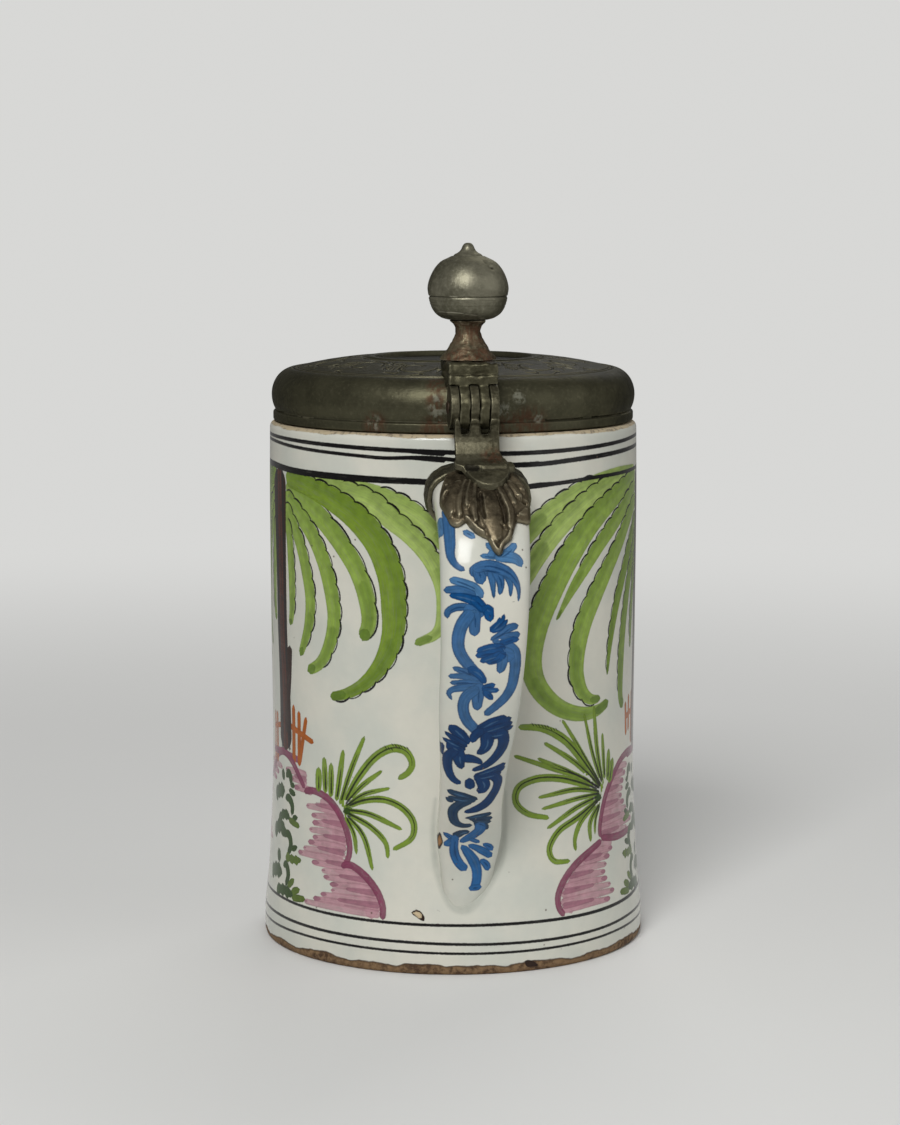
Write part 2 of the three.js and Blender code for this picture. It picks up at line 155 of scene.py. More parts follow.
class Wire:
    """A socket of a node tree that takes part in Python sums."""

    def __init__(self, bench: Bench, socket: bpy.types.NodeSocket) -> None:
        """Keeps the socket and the bench that its tree is built on."""
        self.bench = bench
        self.socket = socket

    def __add__(self, other: Value) -> Wire:
        """Adds."""
        return self.bench.math("ADD", self, other)

    def __radd__(self, other: Value) -> Wire:
        """Adds, reflected."""
        return self.bench.math("ADD", other, self)

    def __sub__(self, other: Value) -> Wire:
        """Subtracts."""
        return self.bench.math("SUBTRACT", self, other)

    def __rsub__(self, other: Value) -> Wire:
        """Subtracts, reflected."""
        return self.bench.math("SUBTRACT", other, self)

    def __mul__(self, other: Value) -> Wire:
        """Multiplies."""
        return self.bench.math("MULTIPLY", self, other)

    def __rmul__(self, other: Value) -> Wire:
        """Multiplies, reflected."""
        return self.bench.math("MULTIPLY", other, self)

    def __truediv__(self, other: Value) -> Wire:
        """Divides."""
        return self.bench.math("DIVIDE", self, other)

    def __rtruediv__(self, other: Value) -> Wire:
        """Divides, reflected."""
        return self.bench.math("DIVIDE", other, self)

    def __abs__(self) -> Wire:
        """The value without its sign."""
        return self.bench.math("ABSOLUTE", self)


Value = Union[float, int, Wire]


class Bench:
    """Builds one node tree."""

    def __init__(self, tree: bpy.types.NodeTree) -> None:
        """Keeps the tree."""
        self.tree = tree

    def node(self, kind: str, settings: dict | None = None, sockets: dict | None = None) -> bpy.types.Node:
        """Makes a node.

        Args:
            kind: the node's type.
            settings: its properties, which are set first.
            sockets: values or wires for its inputs, by name or number.

        Returns:
            The node.
        """
        made = self.tree.nodes.new(kind)
        for name, value in (settings or {}).items():
            setattr(made, name, value)
        for key, value in (sockets or {}).items():
            if isinstance(value, Wire):
                self.tree.links.new(value.socket, made.inputs[key])
            else:
                made.inputs[key].default_value = value
        return made

    def wire(self, kind: str, settings: dict | None = None, sockets: dict | None = None,
             out: int | str = 0) -> Wire:
        """Makes a node and gives one of its outputs.

        Args:
            kind: the node's type.
            settings: its properties.
            sockets: values or wires for its inputs.
            out: the output's name or number.

        Returns:
            The output.
        """
        return Wire(self, self.node(kind, settings, sockets).outputs[out])

    def math(self, operation: str, *values: Value) -> Wire:
        """One Math node on the values given."""
        return self.wire("ShaderNodeMath", {"operation": operation}, dict(enumerate(values)))

    def vector(self, operation: str, *values: object, out: int = 0) -> Wire:
        """One Vector Math node on the values given."""
        return self.wire("ShaderNodeVectorMath", {"operation": operation}, dict(enumerate(values)), out)

    def scaled(self, vector: Wire, factor: Value) -> Wire:
        """A vector times a number."""
        return self.wire("ShaderNodeVectorMath", {"operation": "SCALE"}, {0: vector, "Scale": factor})

    def joined(self, x: Value, y: Value, z: Value) -> Wire:
        """A vector from its three parts."""
        return self.wire("ShaderNodeCombineXYZ", None, {0: x, 1: y, 2: z})

    def parts(self, vector: Wire) -> tuple[Wire, Wire, Wire]:
        """The three parts of a vector."""
        made = self.node("ShaderNodeSeparateXYZ", None, {0: vector})
        return tuple(Wire(self, socket) for socket in made.outputs)

    def noise(self, place: Wire, scale: float, detail: float = 2.0, roughness: float = 0.5) -> Wire:
        """Noise from 0 to 1, with the given number of waves to a millimetre."""
        sockets = {"Vector": place, "Scale": scale, "Detail": detail, "Roughness": roughness}
        return self.wire("ShaderNodeTexNoise", None, sockets)

    def step(self, value: Wire, low: Value, high: Value) -> Wire:
        """A smooth step from 0 at low to 1 at high."""
        settings = {"interpolation_type": "SMOOTHSTEP", "clamp": True}
        return self.wire("ShaderNodeMapRange", settings, {0: value, 1: low, 2: high, 3: 0.0, 4: 1.0})

    def blend(self, below: object, above: object, share: Value) -> Wire:
        """Mixes two colours."""
        settings = {"data_type": "RGBA", "clamp_factor": True}
        return self.wire("ShaderNodeMix", settings, {0: share, 6: below, 7: above}, 2)

    def shaded(self, colour: object, factor: Value) -> Wire:
        """Multiplies a colour by a number.

        Args:
            colour: a colour or a wire.
            factor: the number, the same for red, green and blue.

        Returns:
            The darker or brighter colour.
        """
        grey = self.joined(factor, factor, factor)
        settings = {"data_type": "RGBA", "blend_type": "MULTIPLY", "clamp_factor": True}
        return self.wire("ShaderNodeMix", settings, {0: 1.0, 6: colour, 7: grey}, 2)

    def ball(self, place: Wire, centre: Sequence[float], radius: float) -> Wire:
        """A ball of ones round a point, in millimetres, that fades about its radius."""
        far = self.vector("DISTANCE", place, tuple(centre), out=1)
        return 1.0 - self.step(far, radius - radius * 0.4, radius + radius * 0.4)

    def millimetres(self) -> Wire:
        """Object coordinates in millimetres."""
        return self.scaled(self.wire("ShaderNodeTexCoord", out="Object"), 1 / MM)


@dataclass(frozen=True)
class Finish:
    """A material and what its nodes are made from."""

    name: str

    def dress(self, bench: Bench) -> dict[str, object]:
        """Gives the values and wires of the shader's sockets."""
        raise NotImplementedError

    def material(self) -> bpy.types.Material:
        """Builds the material.

        Returns:
            The finished material.
        """
        made = bpy.data.materials.new(self.name)
        made.use_nodes = True
        made.node_tree.nodes.clear()
        bench = Bench(made.node_tree)
        shader = bench.wire("ShaderNodeBsdfPrincipled", None, self.dress(bench))
        bench.node("ShaderNodeOutputMaterial", None, {"Surface": shader})
        log.info("finish %s: %d nodes", self.name, len(made.node_tree.nodes))
        return made


LAYERS = 6  # strokes that a face can carry, one over another
BARE = -1.0  # the half width kept where a face has no stroke


@dataclass(frozen=True)
class TinGlaze(Finish):
    """White tin glaze with colours painted into it, bare clay where the foot and the rim are worn.

    The foot and the rim are the heights at which the clay shows. A stroke fades over soft at its edge, or
    over washed if it is a weak wash. Its edge wanders by ragged and is darker by the share edge, and hairs
    are the waves of its brush hairs to a millimetre across and along.
    """

    ground: Colour = linear(210, 208, 196)
    cool: Colour = linear(198, 200, 190)
    clay: Colour = linear(132, 106, 76)
    clay_dark: Colour = linear(74, 54, 38)
    rim_clay: Colour = linear(176, 158, 124)
    foot: float = 0.0
    rim: float = 1000.0
    soft: float = 0.16
    washed: float = 1.8
    ragged: float = 0.34
    edge: float = 0.2
    hairs: Point = (1.9, 0.14)
    pit_scale: float = 0.16

    def painted(self, bench: Bench, ground: Wire, place: Wire) -> Wire:
        """Lays the brush strokes over the ground.

        Args:
            bench: the tree's bench.
            ground: the glaze's own colour.
            place: the place in millimetres.

        Returns:
            The painted colour.
        """
        colour = ground
        ragged = bench.noise(place, 1.6, 3.0, 0.6) - 0.5
        pooled = bench.noise(place, 0.35, 2.0) - 0.5
        for layer in range(LAYERS):
            read = bench.node("ShaderNodeAttribute", {"attribute_name": f"stroke_{layer}"})
            tint = bench.node("ShaderNodeAttribute", {"attribute_name": f"tint_{layer}"})
            across, along, half = bench.parts(Wire(bench, read.outputs["Vector"]))
            strength = Wire(bench, tint.outputs["Alpha"])
            firm = bench.step(strength, 0.45, 0.55)
            inside = half - abs(across) + ragged * self.ragged
            mask = bench.step(inside, firm * -self.soft, self.washed - firm * (self.washed - self.soft))
            brush = bench.joined(across * self.hairs[0], along * self.hairs[1], strength + layer)
            hairs = bench.step(bench.noise(brush, 1.0, 3.0, 0.62), 0.28, 0.72)
            rim = 1.0 - bench.step(inside, 0.05, 0.7)
            depth = 1.26 - hairs * 0.34 - rim * self.edge - pooled * 0.7
            pigment = bench.shaded(Wire(bench, tint.outputs["Color"]), depth)
            cover = mask * strength * (1.14 - hairs * 0.16)
            colour = bench.blend(colour, pigment, cover)
        return colour

    def dress(self, bench: Bench) -> dict[str, object]:
        """Works out the surface.

        Args:
            bench: the tree's bench.

        Returns:
            The values and wires of the shader's sockets.
        """
        place = bench.millimetres()
        x, y, up = bench.parts(place)
        cloud = bench.noise(place, 0.035, 3.0, 0.55)
        ground = bench.blend(self.ground, self.cool, bench.step(cloud, 0.36, 0.66))
        fine = bench.noise(place, 0.4, 3.0, 0.6)
        ground = bench.shaded(ground, 0.965 + fine * 0.07)
        wander = bench.noise(place, 0.07, 3.0, 0.5) - 0.5
        grain = bench.noise(place, 1.3, 3.0, 0.7)
        level = up + wander * 6.0 + grain * 0.3  # the glaze ends in a wandering line above the foot
        bare = 1.0 - bench.step(level, self.foot - 0.2, self.foot + 0.2)
        edge = bench.step(level, self.foot - 0.7, self.foot)
        edge = edge * (1.0 - bench.step(level, self.foot, self.foot + 0.4))
        mottle = bench.noise(place, 0.55, 4.0, 0.65)
        clay = bench.blend(self.clay_dark, self.clay, bench.step(mottle + wander * 0.8, 0.3, 0.62))
        colour = bench.blend(ground, clay, bare)
        colour = bench.blend(colour, self.clay_dark, edge * 0.75)
        colour = self.painted(bench, colour, place)
        lip = up + wander * 2.4 + grain * 0.6 - 0.25
        worn = bench.step(lip, self.rim - 0.1, self.rim + 0.15)
        buff = bench.blend(self.rim_clay, self.clay_dark, bench.step(mottle, 0.5, 0.62) * 0.7)
        colour = bench.blend(colour, buff, worn * 0.85)
        spread = {"Vector": place, "Scale": self.pit_scale}
        cells = bench.node("ShaderNodeTexVoronoi", {"feature": "F1"}, spread)
        far = Wire(bench, cells.outputs["Distance"]) / self.pit_scale
        chosen = bench.parts(Wire(bench, cells.outputs["Color"]))[0]
        pits = bench.step(chosen, 0.66, 0.68) * (1.0 - bench.step(far + grain * 0.3, 0.28, 0.62))
        colour = bench.blend(colour, self.clay_dark, pits * 0.8)
        rough = bench.step(bare + worn, 0.2, 0.8)
        waves = bench.noise(place, 0.07, 2.0) * 0.16 + bench.noise(place, 0.5, 2.0) * 0.012
        rings = bench.noise(bench.joined(x * 0.01, y * 0.01, up * 0.3), 1.0, 2.0) * 0.03
        relief = waves + rings - pits * 0.12 - bare * 0.25 + grain * rough * 0.12
        bump = bench.wire("ShaderNodeBump", None, {"Strength": 1.0, "Distance": MM, "Height": relief})
        return {
            "Base Color": colour,
            "Roughness": 0.13 + fine * 0.07 + rough * 0.6 + pits * 0.3,
            "IOR": 1.36,
            "Normal": bump,
        }


@dataclass(frozen=True)
class Spot:
    """A soft stain on a pewter piece: centre and radius in millimetres."""

    centre: tuple[float, float, float]
    radius: float


@dataclass(frozen=True)
class Pewter(Finish):
    """Old pewter with a dull olive skin, rubbed high places, red-brown stains and pale corrosion.

    Stains, crusts and shaded nicks are the places of the stains, of the corrosion and of painted shade in a
    dent or nick. A turned piece has the axis of its lathe lines, and a disc that lies sunken in its top has
    its radius and the heights between which the painted shade over it fades.
    """

    body: Colour = linear(80, 77, 60)
    dark: Colour = linear(54, 51, 38)
    rubbed: Colour = linear(118, 114, 94)
    rust: Colour = linear(74, 36, 22)
    crust: Colour = linear(132, 132, 118)
    stains: tuple[Spot, ...] = ()
    crusts: tuple[Spot, ...] = ()
    shaded_nicks: tuple[Spot, ...] = ()
    rusted: float = 0.55
    roughness: float = 0.42
    metallic: float = 0.72
    edge_tint: float = 0.15
    carved: float = 0.45
    engraved: bool = False
    sunken: float = 0.0
    sunken_up: Point = (197.3, 197.9)
    turned_at: Point | None = None

    def spots(self, bench: Bench, place: Wire, spots: Sequence[Spot]) -> Wire:
        """Joins soft balls into one mask.

        Args:
            bench: the tree's bench.
            place: the place in millimetres.
            spots: the balls.

        Returns:
            The mask, from 0 to 1.
        """
        balls = (bench.ball(place, spot.centre, spot.radius) for spot in spots)
        return reduce(lambda mask, ball: bench.math("MAXIMUM", mask, ball), balls)

    def dress(self, bench: Bench) -> dict[str, object]:
        """Works out the surface.

        Args:
            bench: the tree's bench.

        Returns:
            The values and wires of the shader's sockets.
        """
        place = bench.millimetres()
        cloud = bench.noise(place, 0.09, 4.0, 0.6)
        mottle = bench.noise(place, 0.8, 5.0, 0.68)
        fine = bench.noise(place, 3.2, 3.0, 0.7)
        colour = bench.blend(self.dark, self.body, bench.step(cloud + mottle * 0.5, 0.5, 0.92))
        colour = bench.blend(colour, self.rubbed, bench.step(mottle, 0.52, 0.78) * 0.35)
        # Edges are rubbed bright and hollows keep their dirt.
        curve = bench.wire("ShaderNodeNewGeometry", out="Pointiness")
        colour = bench.blend(colour, self.rubbed, bench.step(curve, 0.515, 0.56) * 0.75)
        hollow = 1.0 - bench.step(curve, 0.44, 0.49)
        colour = bench.blend(colour, self.dark, hollow * 0.8)
        dull = mottle * 0.2 + hollow * 0.3
        relief = bench.noise(place, 0.35, 2.0) * 0.14 + mottle * 0.07 + fine * 0.02
        if self.turned_at:
            x, y, up = bench.parts(place)
            out = bench.vector("DISTANCE", bench.joined(x, y, 0.0), (*self.turned_at, 0.0), out=1)
            lathe = bench.noise(bench.joined(out, up, 0.0), 1.1, 3.0, 0.7)
            relief = relief + lathe * 0.03
            colour = bench.shaded(colour, 0.93 + lathe * 0.14)
            # Painted shade darkens the sunken disc on top of the lid.
            if self.sunken:
                inside = 1.0 - bench.step(out, self.sunken - 1, self.sunken + 0.4)
                colour = bench.shaded(colour, 1.0 - inside * bench.step(up, *self.sunken_up) * 0.58)
        if self.engraved:
            for layer in range(LAYERS):
                read = bench.wire("ShaderNodeAttribute", {"attribute_name": f"stroke_{layer}"}, out="Vector")
                across, along, half = bench.parts(read)
                cut = bench.step(half - abs(across), -0.1, 0.25)
                burr = bench.step(half - abs(across), -0.42, -0.12) - cut
                colour = bench.blend(colour, bench.shaded(self.dark, 0.6), cut * 0.9)
                colour = bench.blend(colour, self.rubbed, bench.math("MAXIMUM", burr, 0.0) * 0.8)
                relief = relief - cut * self.carved
        if self.stains:
            x, y, up = bench.parts(place)
            runs = bench.noise(bench.joined(x * 0.9, y * 0.9, up * 0.22), 1.0, 3.0, 0.65)
            stained = self.spots(bench, place, self.stains) * bench.step(runs + mottle * 0.3, 0.5, 0.74)
            colour = bench.blend(colour, self.rust, stained * self.rusted)
            dull = dull + stained * 0.25
        # Painted shade: dark spots in each nick and dent.
        if self.shaded_nicks:
            colour = bench.blend(colour, Pigment.LINE.value, self.spots(bench, place, self.shaded_nicks) * 0.85)
        if self.crusts:
            flakes = bench.noise(place, 0.42, 3.0, 0.6)
            crusted = self.spots(bench, place, self.crusts) * bench.step(flakes + mottle * 0.25, 0.58, 0.76)
            colour = bench.blend(colour, self.crust, crusted * 0.6)
            relief = relief + crusted * 0.08
            dull = dull + crusted * 0.4
        bump = bench.wire("ShaderNodeBump", None, {"Strength": 1.0, "Distance": MM, "Height": relief})
        return {
            "Base Color": colour,
            "Metallic": self.metallic - bench.step(dull, 0.15, 0.6) * 0.5,
            "Roughness": self.roughness + dull * 0.5 - 0.05,
            "Specular Tint": (self.edge_tint, self.edge_tint, self.edge_tint, 1.0),
            "IOR": 1.28,
            "Normal": bump,
        }


# Brushwork

MARGIN = 1.3  # how far outside a stroke's edge a face's centre may lie for the face to be tried
LOOK_ROUND = 2.4  # how far along the stroke, to either side, a corner looks for its nearest point
OVERLAP = 0.5  # the depth inside a stroke at which it hides what lies under it


def run_along(path: np.ndarray) -> np.ndarray:
    """The distance along a path at each of its points."""
    return np.concatenate([[0], np.cumsum(np.linalg.norm(np.diff(path, axis=0), axis=1))])


def unit(rows: np.ndarray) -> np.ndarray:
    """The rows, each scaled to a length of 1."""
    return rows / np.linalg.norm(rows, axis=1)[:, None]


def left_of(path: np.ndarray) -> np.ndarray:
    """The direction to the left of a flat path at each of its points."""
    ahead = unit(np.gradient(path, axis=0))
    return np.stack([-ahead[:, 1], ahead[:, 0]], 1)


def smooth_path(points: Sequence[Point], step: float) -> np.ndarray:
    """Runs a smooth curve through points.

    Args:
        points: the points, of any number of parts.
        step: the distance between the points of the curve.

    Returns:
        The curve's points as rows.
    """
    given = np.array(points, float)
    if len(given) == 2:
        count = max(2, int(np.linalg.norm(given[1] - given[0]) / step) + 1)
        return given[0] + (given[1] - given[0]) * np.linspace(0, 1, count)[:, None]
    padded = np.vstack([2 * given[0] - given[1], given, 2 * given[-1] - given[-2]])
    gaps = np.linalg.norm(np.diff(padded, axis=0), axis=1) ** 0.5
    pieces = []
    for i in range(1, len(given)):
        p0, p1, p2, p3 = padded[i - 1 : i + 3]
        d0, d1, d2 = gaps[i - 1 : i + 2]
        leave = ((p1 - p0) / d0 - (p2 - p0) / (d0 + d1) + (p2 - p1) / d1) * d1
        arrive = ((p2 - p1) / d1 - (p3 - p1) / (d1 + d2) + (p3 - p2) / d2) * d1
        count = max(2, int(d1 * d1 / step) + 1)
        w = np.linspace(0, 1, count, endpoint=False)[:, None]
        bend = -3 * p1 + 3 * p2 - 2 * leave - arrive
        turn = 2 * p1 - 2 * p2 + leave + arrive
        pieces.append(p1 + leave * w + bend * w**2 + turn * w**3)
    return np.vstack([*pieces, given[-1:]])


def part_of(path: Path, start: float, end: float) -> Path:
    """Cuts a stretch out of a smooth path.

    Args:
        path: the path.
        start: the share of its length at which the stretch starts.
        end: the share at which it ends.

    Returns:
        The points of the stretch.
    """
    fine = smooth_path(path, 0.8)
    run = run_along(fine)
    marks = np.linspace(start, end, max(2, 2 * len(path))) * run[-1]
    return tuple((float(np.interp(m, run, fine[:, 0])), float(np.interp(m, run, fine[:, 1]))) for m in marks)


@dataclass(frozen=True)
class Stroke:
    """One stroke of a brush or a graver on a surface laid flat, in millimetres."""

    path: Path
    half: tuple[float, ...]
    pigment: Pigment = Pigment.LINE
    strength: float = 1.0
    open_ends: bool = False

    def curve(self, step: float = 0.7) -> tuple[np.ndarray, np.ndarray]:
        """Works out the stroke's curve.

        Args:
            step: the distance between the curve's points.

        Returns:
            The curve's points and the half width at each.
        """
        path = smooth_path(self.path, step)
        run = run_along(path)
        half = np.interp(run / run[-1], np.linspace(0, 1, len(self.half)), self.half)
        if not self.open_ends:
            for inset, width in ((run, self.half[0]), (run[-1] - run, self.half[-1])):
                share = np.clip(inset / max(width, 0.05), 0, 1)
                half = half * np.sqrt(1 - (1 - share) ** 2)
        return path, half

    def mirrored(self, about: float) -> Stroke:
        """The same stroke mirrored about an upright line."""
        return replace(self, path=tuple((2 * about - u, up) for u, up in self.path))


class FlatSheet:
    """The four-sided faces of a surface laid flat, on which strokes are laid one over another."""

    def __init__(self, corners: np.ndarray, period: float = 0.0) -> None:
        """Keeps the flat corners of the faces and the width after which the sheet starts again.

        Args:
            corners: faces, their four corners and the two parts of each, in millimetres.
            period: the sheet's width if it closes on itself, or 0.
        """
        self.corners = corners
        self.centres = corners.mean(axis=1)
        self.period = period
        self.depth = np.zeros(len(corners), int)
        self.places = np.zeros((LAYERS, len(corners), 4, 3), np.float32)
        self.places[..., 2] = BARE
        self.tints = np.zeros((LAYERS, len(corners), 4), np.float32)

    def lay(self, strokes: Sequence[Stroke]) -> None:
        """Lays strokes on the sheet, again on each side of a sheet that closes.

        Args:
            strokes: the strokes in painting order.
        """
        for stroke in strokes:
            path, half = stroke.curve()
            for turn in (-1, 0, 1) if self.period else (0,):
                self._lay_one(path + (turn * self.period, 0.0), half, stroke)

    def _lay_one(self, path: np.ndarray, half: np.ndarray, stroke: Stroke) -> None:
        """Lays one curve on the sheet.

        Args:
            path: the curve's points.
            half: half the stroke's width at each point.
            stroke: the stroke, for its pigment.
        """
        reach = half.max() + MARGIN
        # Only faces near the stroke are tried: first by its box, then by the distance of their centres.
        boxed = (self.centres > path.min(0) - reach) & (self.centres < path.max(0) + reach)
        near = np.flatnonzero(boxed.all(axis=1))
        if not near.size:
            return
        start, run = path[:-1], np.diff(path, axis=0)
        length = np.maximum(np.linalg.norm(run, axis=1), 1e-6)
        offset = self.centres[near][:, None] - start
        share = np.clip((offset * run).sum(-1) / length**2, 0, 1)
        gap = np.linalg.norm(offset - share[..., None] * run, axis=-1)
        nearest = gap.argmin(1)
        kept = gap.min(1) < reach
        near, nearest = near[kept], nearest[kept]
        if not near.size:
            return
        # Each corner looks for its nearest point on the runs round the one nearest to its face's centre, and
        # the end runs are drawn out so that a corner past an end still has its distance along the stroke.
        window = int(LOOK_ROUND / length.mean()) + 1
        last = len(start) - 1
        tried = np.clip(nearest[:, None] + np.arange(-window, window + 1), 0, last)
        offset = self.corners[near][:, :, None] - start[tried][:, None]
        ahead = run[tried][:, None]
        share = (offset * ahead).sum(-1) / length[tried][:, None] ** 2
        low = np.where(tried == 0, -np.inf, 0.0)[:, None]
        high = np.where(tried == last, np.inf, 1.0)[:, None]
        share = np.clip(share, low, high)
        away = offset - share[..., None] * ahead
        gap = np.linalg.norm(away, axis=-1)
        best = gap.argmin(-1)[..., None]
        side = ahead[..., 0] * away[..., 1] - ahead[..., 1] * away[..., 0]
        across = np.take_along_axis(np.where(side < 0, -gap, gap), best, -1)[..., 0]
        before = np.concatenate([[0], np.cumsum(length)])
        along = before[tried][:, None] + share * length[tried][:, None]
        along = np.take_along_axis(along, best, -1)[..., 0]
        wide = np.interp(along, before, half) - np.maximum(-along, 0) - np.maximum(along - before[-1], 0)
        inside = wide - np.abs(across)
        touched = inside.max(1) > -OVERLAP
        touched |= ((across.max(1) > 0) & (across.min(1) < 0)) & (wide.max(1) > 0)
        # A strong stroke that covers a face whole takes away what lies under it. On a face that is full, the
        # second lowest stroke makes room.
        hiding = stroke.strength > 0.9 and inside.min(1) > OVERLAP
        self.depth[near[touched & hiding]] = 0
        self.places[:, near[touched & hiding], :, 2] = BARE
        near = near[touched]
        place = np.stack([across, along, wide], -1)[touched]
        full = near[self.depth[near] == LAYERS]
        self.places[1:-1, full] = self.places[2:, full]
        self.tints[1:-1, full] = self.tints[2:, full]
        self.depth[full] -= 1
        self.places[self.depth[near], near] = place
        self.tints[self.depth[near], near] = (*stroke.pigment.value[:3], stroke.strength)
        self.depth[near] += 1

    def cut_depth(self, faces: np.ndarray, count: int, edge: float) -> np.ndarray:
        """How far each vertex lies inside the strokes, for grooves.

        Args:
            faces: the vertices of each face.
            count: the number of vertices.
            edge: the run over which a groove gets its depth.

        Returns:
            A share from 0 to 1 for each vertex.
        """
        inside = (self.places[..., 2] - np.abs(self.places[..., 0])).max(0)
        deep = np.full(count, BARE)
        np.maximum.at(deep, faces.ravel(), inside.ravel())
        return np.clip(deep / edge + 0.5, 0, 1)

    def store(self, mesh: bpy.types.Mesh, first_corner: np.ndarray) -> None:
        """Writes the strokes to the mesh as attributes of its face corners.

        Args:
            mesh: the mesh.
            first_corner: the number of each face's first corner in the mesh.
        """
        spots = (first_corner[:, None] + np.arange(4)).ravel()
        for layer in range(LAYERS):
            place = np.zeros((len(mesh.loops), 3), np.float32)
            place[:, 2] = BARE
            place[spots] = self.places[layer].reshape(-1, 3)
            tint = np.zeros((len(mesh.loops), 4), np.float32)
            tint[spots] = np.repeat(self.tints[layer], 4, axis=0)
            stroke = mesh.attributes.new(f"stroke_{layer}", "FLOAT_VECTOR", "CORNER")
            stroke.data.foreach_set("vector", place.ravel())
            colour = mesh.attributes.new(f"tint_{layer}", "FLOAT_COLOR", "CORNER")
            colour.data.foreach_set("color", tint.ravel())


# Meshes


def span(node: str) -> tuple[Vector, Vector]:
    """The lowest and highest corners of a solid of the frame, in millimetres."""
    low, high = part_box(node)
    return low / MM, high / MM


def new_object(name: str, mesh: bpy.types.Mesh) -> Piece:
    """Puts a mesh in the scene.

    Args:
        name: the object's name.
        mesh: its mesh.

    Returns:
        The object.
    """
    made = bpy.data.objects.new(name, mesh)
    bpy.context.scene.collection.objects.link(made)
    return made


def mesh_object(name: str, points: np.ndarray, faces: Sequence[Sequence[int]]) -> Piece:
    """Makes a smooth object from points in millimetres.

    Args:
        name: the object's name.
        points: the vertices.
        faces: the vertices of each face.

    Returns:
        The object.
    """
    mesh = bpy.data.meshes.new(name)
    mesh.from_pydata((np.asarray(points, float) * MM).tolist(), [], [tuple(face) for face in faces])
    mesh.update()
    mesh.shade_smooth()
    return new_object(name, mesh)


def ring_stack(name: str, rings: np.ndarray, hubs: Sequence, heights: np.ndarray) -> Piece:
    """Joins rings of points into a closed piece whose map is a grid.

    Args:
        name: the object's name.
        rings: rings of points of one count, those further on counter-clockwise seen from the last one's end.
        hubs: the points that close the first and the last ring.
        heights: the height of each ring in the map.

    Returns:
        The object, whose four-sided faces come first, ring by ring.
    """
    rows, count = rings.shape[:2]
    i = np.arange(count)
    j = (i + 1) % count
    low = np.arange(rows - 1)[:, None] * count
    quads = np.stack([low + i, low + j, low + count + j, low + count + i], -1).reshape(-1, 4)
    base, end = (rows - 1) * count, np.full(count, rows * count)
    fans = np.vstack([np.stack([end, j, i], 1), np.stack([base + i, base + j, end + 1], 1)])
    piece = mesh_object(name, np.vstack([rings.reshape(-1, 3), *hubs]), [*quads.tolist(), *fans.tolist()])

    def on_map(across: np.ndarray, up: np.ndarray | float) -> np.ndarray:
        """Places of the map from their two parts."""
        return np.stack(np.broadcast_arrays(across, up), -1)

    left, right, middle = i / count, (i + 1) / count, (i + 0.5) / count
    under, over = heights[:-1, None], heights[1:, None]
    first, last = heights[0], heights[-1]
    parts = (
        (on_map(left, under), on_map(right, under), on_map(right, over), on_map(left, over)),
        (on_map(middle, 0.0), on_map(right, first), on_map(left, first)),
        (on_map(left, last), on_map(right, last), on_map(middle, 1.0)),
    )
    flat = np.concatenate([np.stack(corners, -2).reshape(-1, 2) for corners in parts])
    piece.data.uv_layers.new(name="OFBake").data.foreach_set("uv", flat.ravel())
    return piece


def rows_of(mesh: bpy.types.Mesh, kind: str) -> np.ndarray:
    """Reads a vector of each vertex.

    Args:
        mesh: the mesh.
        kind: co for the places in metres, or normal.

    Returns:
        One row for each vertex.
    """
    flat = np.zeros(len(mesh.vertices) * 3)
    mesh.vertices.foreach_get(kind, flat)
    return flat.reshape(-1, 3)


def places_of(mesh: bpy.types.Mesh) -> np.ndarray:
    """The mesh's vertices in millimetres."""
    return rows_of(mesh, "co") / MM


def put_places(mesh: bpy.types.Mesh, points: np.ndarray) -> None:
    """Moves the mesh's vertices to points in millimetres."""
    mesh.vertices.foreach_set("co", (points * MM).ravel())
    mesh.update()


def settled(piece: Piece) -> Piece:
    """Replaces an object's mesh by the result of its modifiers.

    Args:
        piece: the object.

    Returns:
        The same object, without modifiers.
    """
    graph = bpy.context.evaluated_depsgraph_get()
    done = bpy.data.meshes.new_from_object(piece.evaluated_get(graph))
    piece.modifiers.clear()
    old = piece.data
    piece.data = done
    bpy.data.meshes.remove(old)
    done.name = piece.name
    return piece


def rippled(piece: Piece, height: float, size: float, seed: float) -> None:
    """Moves vertices along their normals by smooth noise.

    Args:
        piece: the object.
        height: the largest move, in millimetres.
        size: the length of a ripple, in millimetres.
        seed: moves the noise.
    """
    points = places_of(piece.data)
    shift = Vector((seed, 2 * seed, -seed))
    moves = [noise.noise(Vector(point) / size + shift) for point in points]
    put_places(piece.data, points + rows_of(piece.data, "normal") * np.array(moves)[:, None] * height)


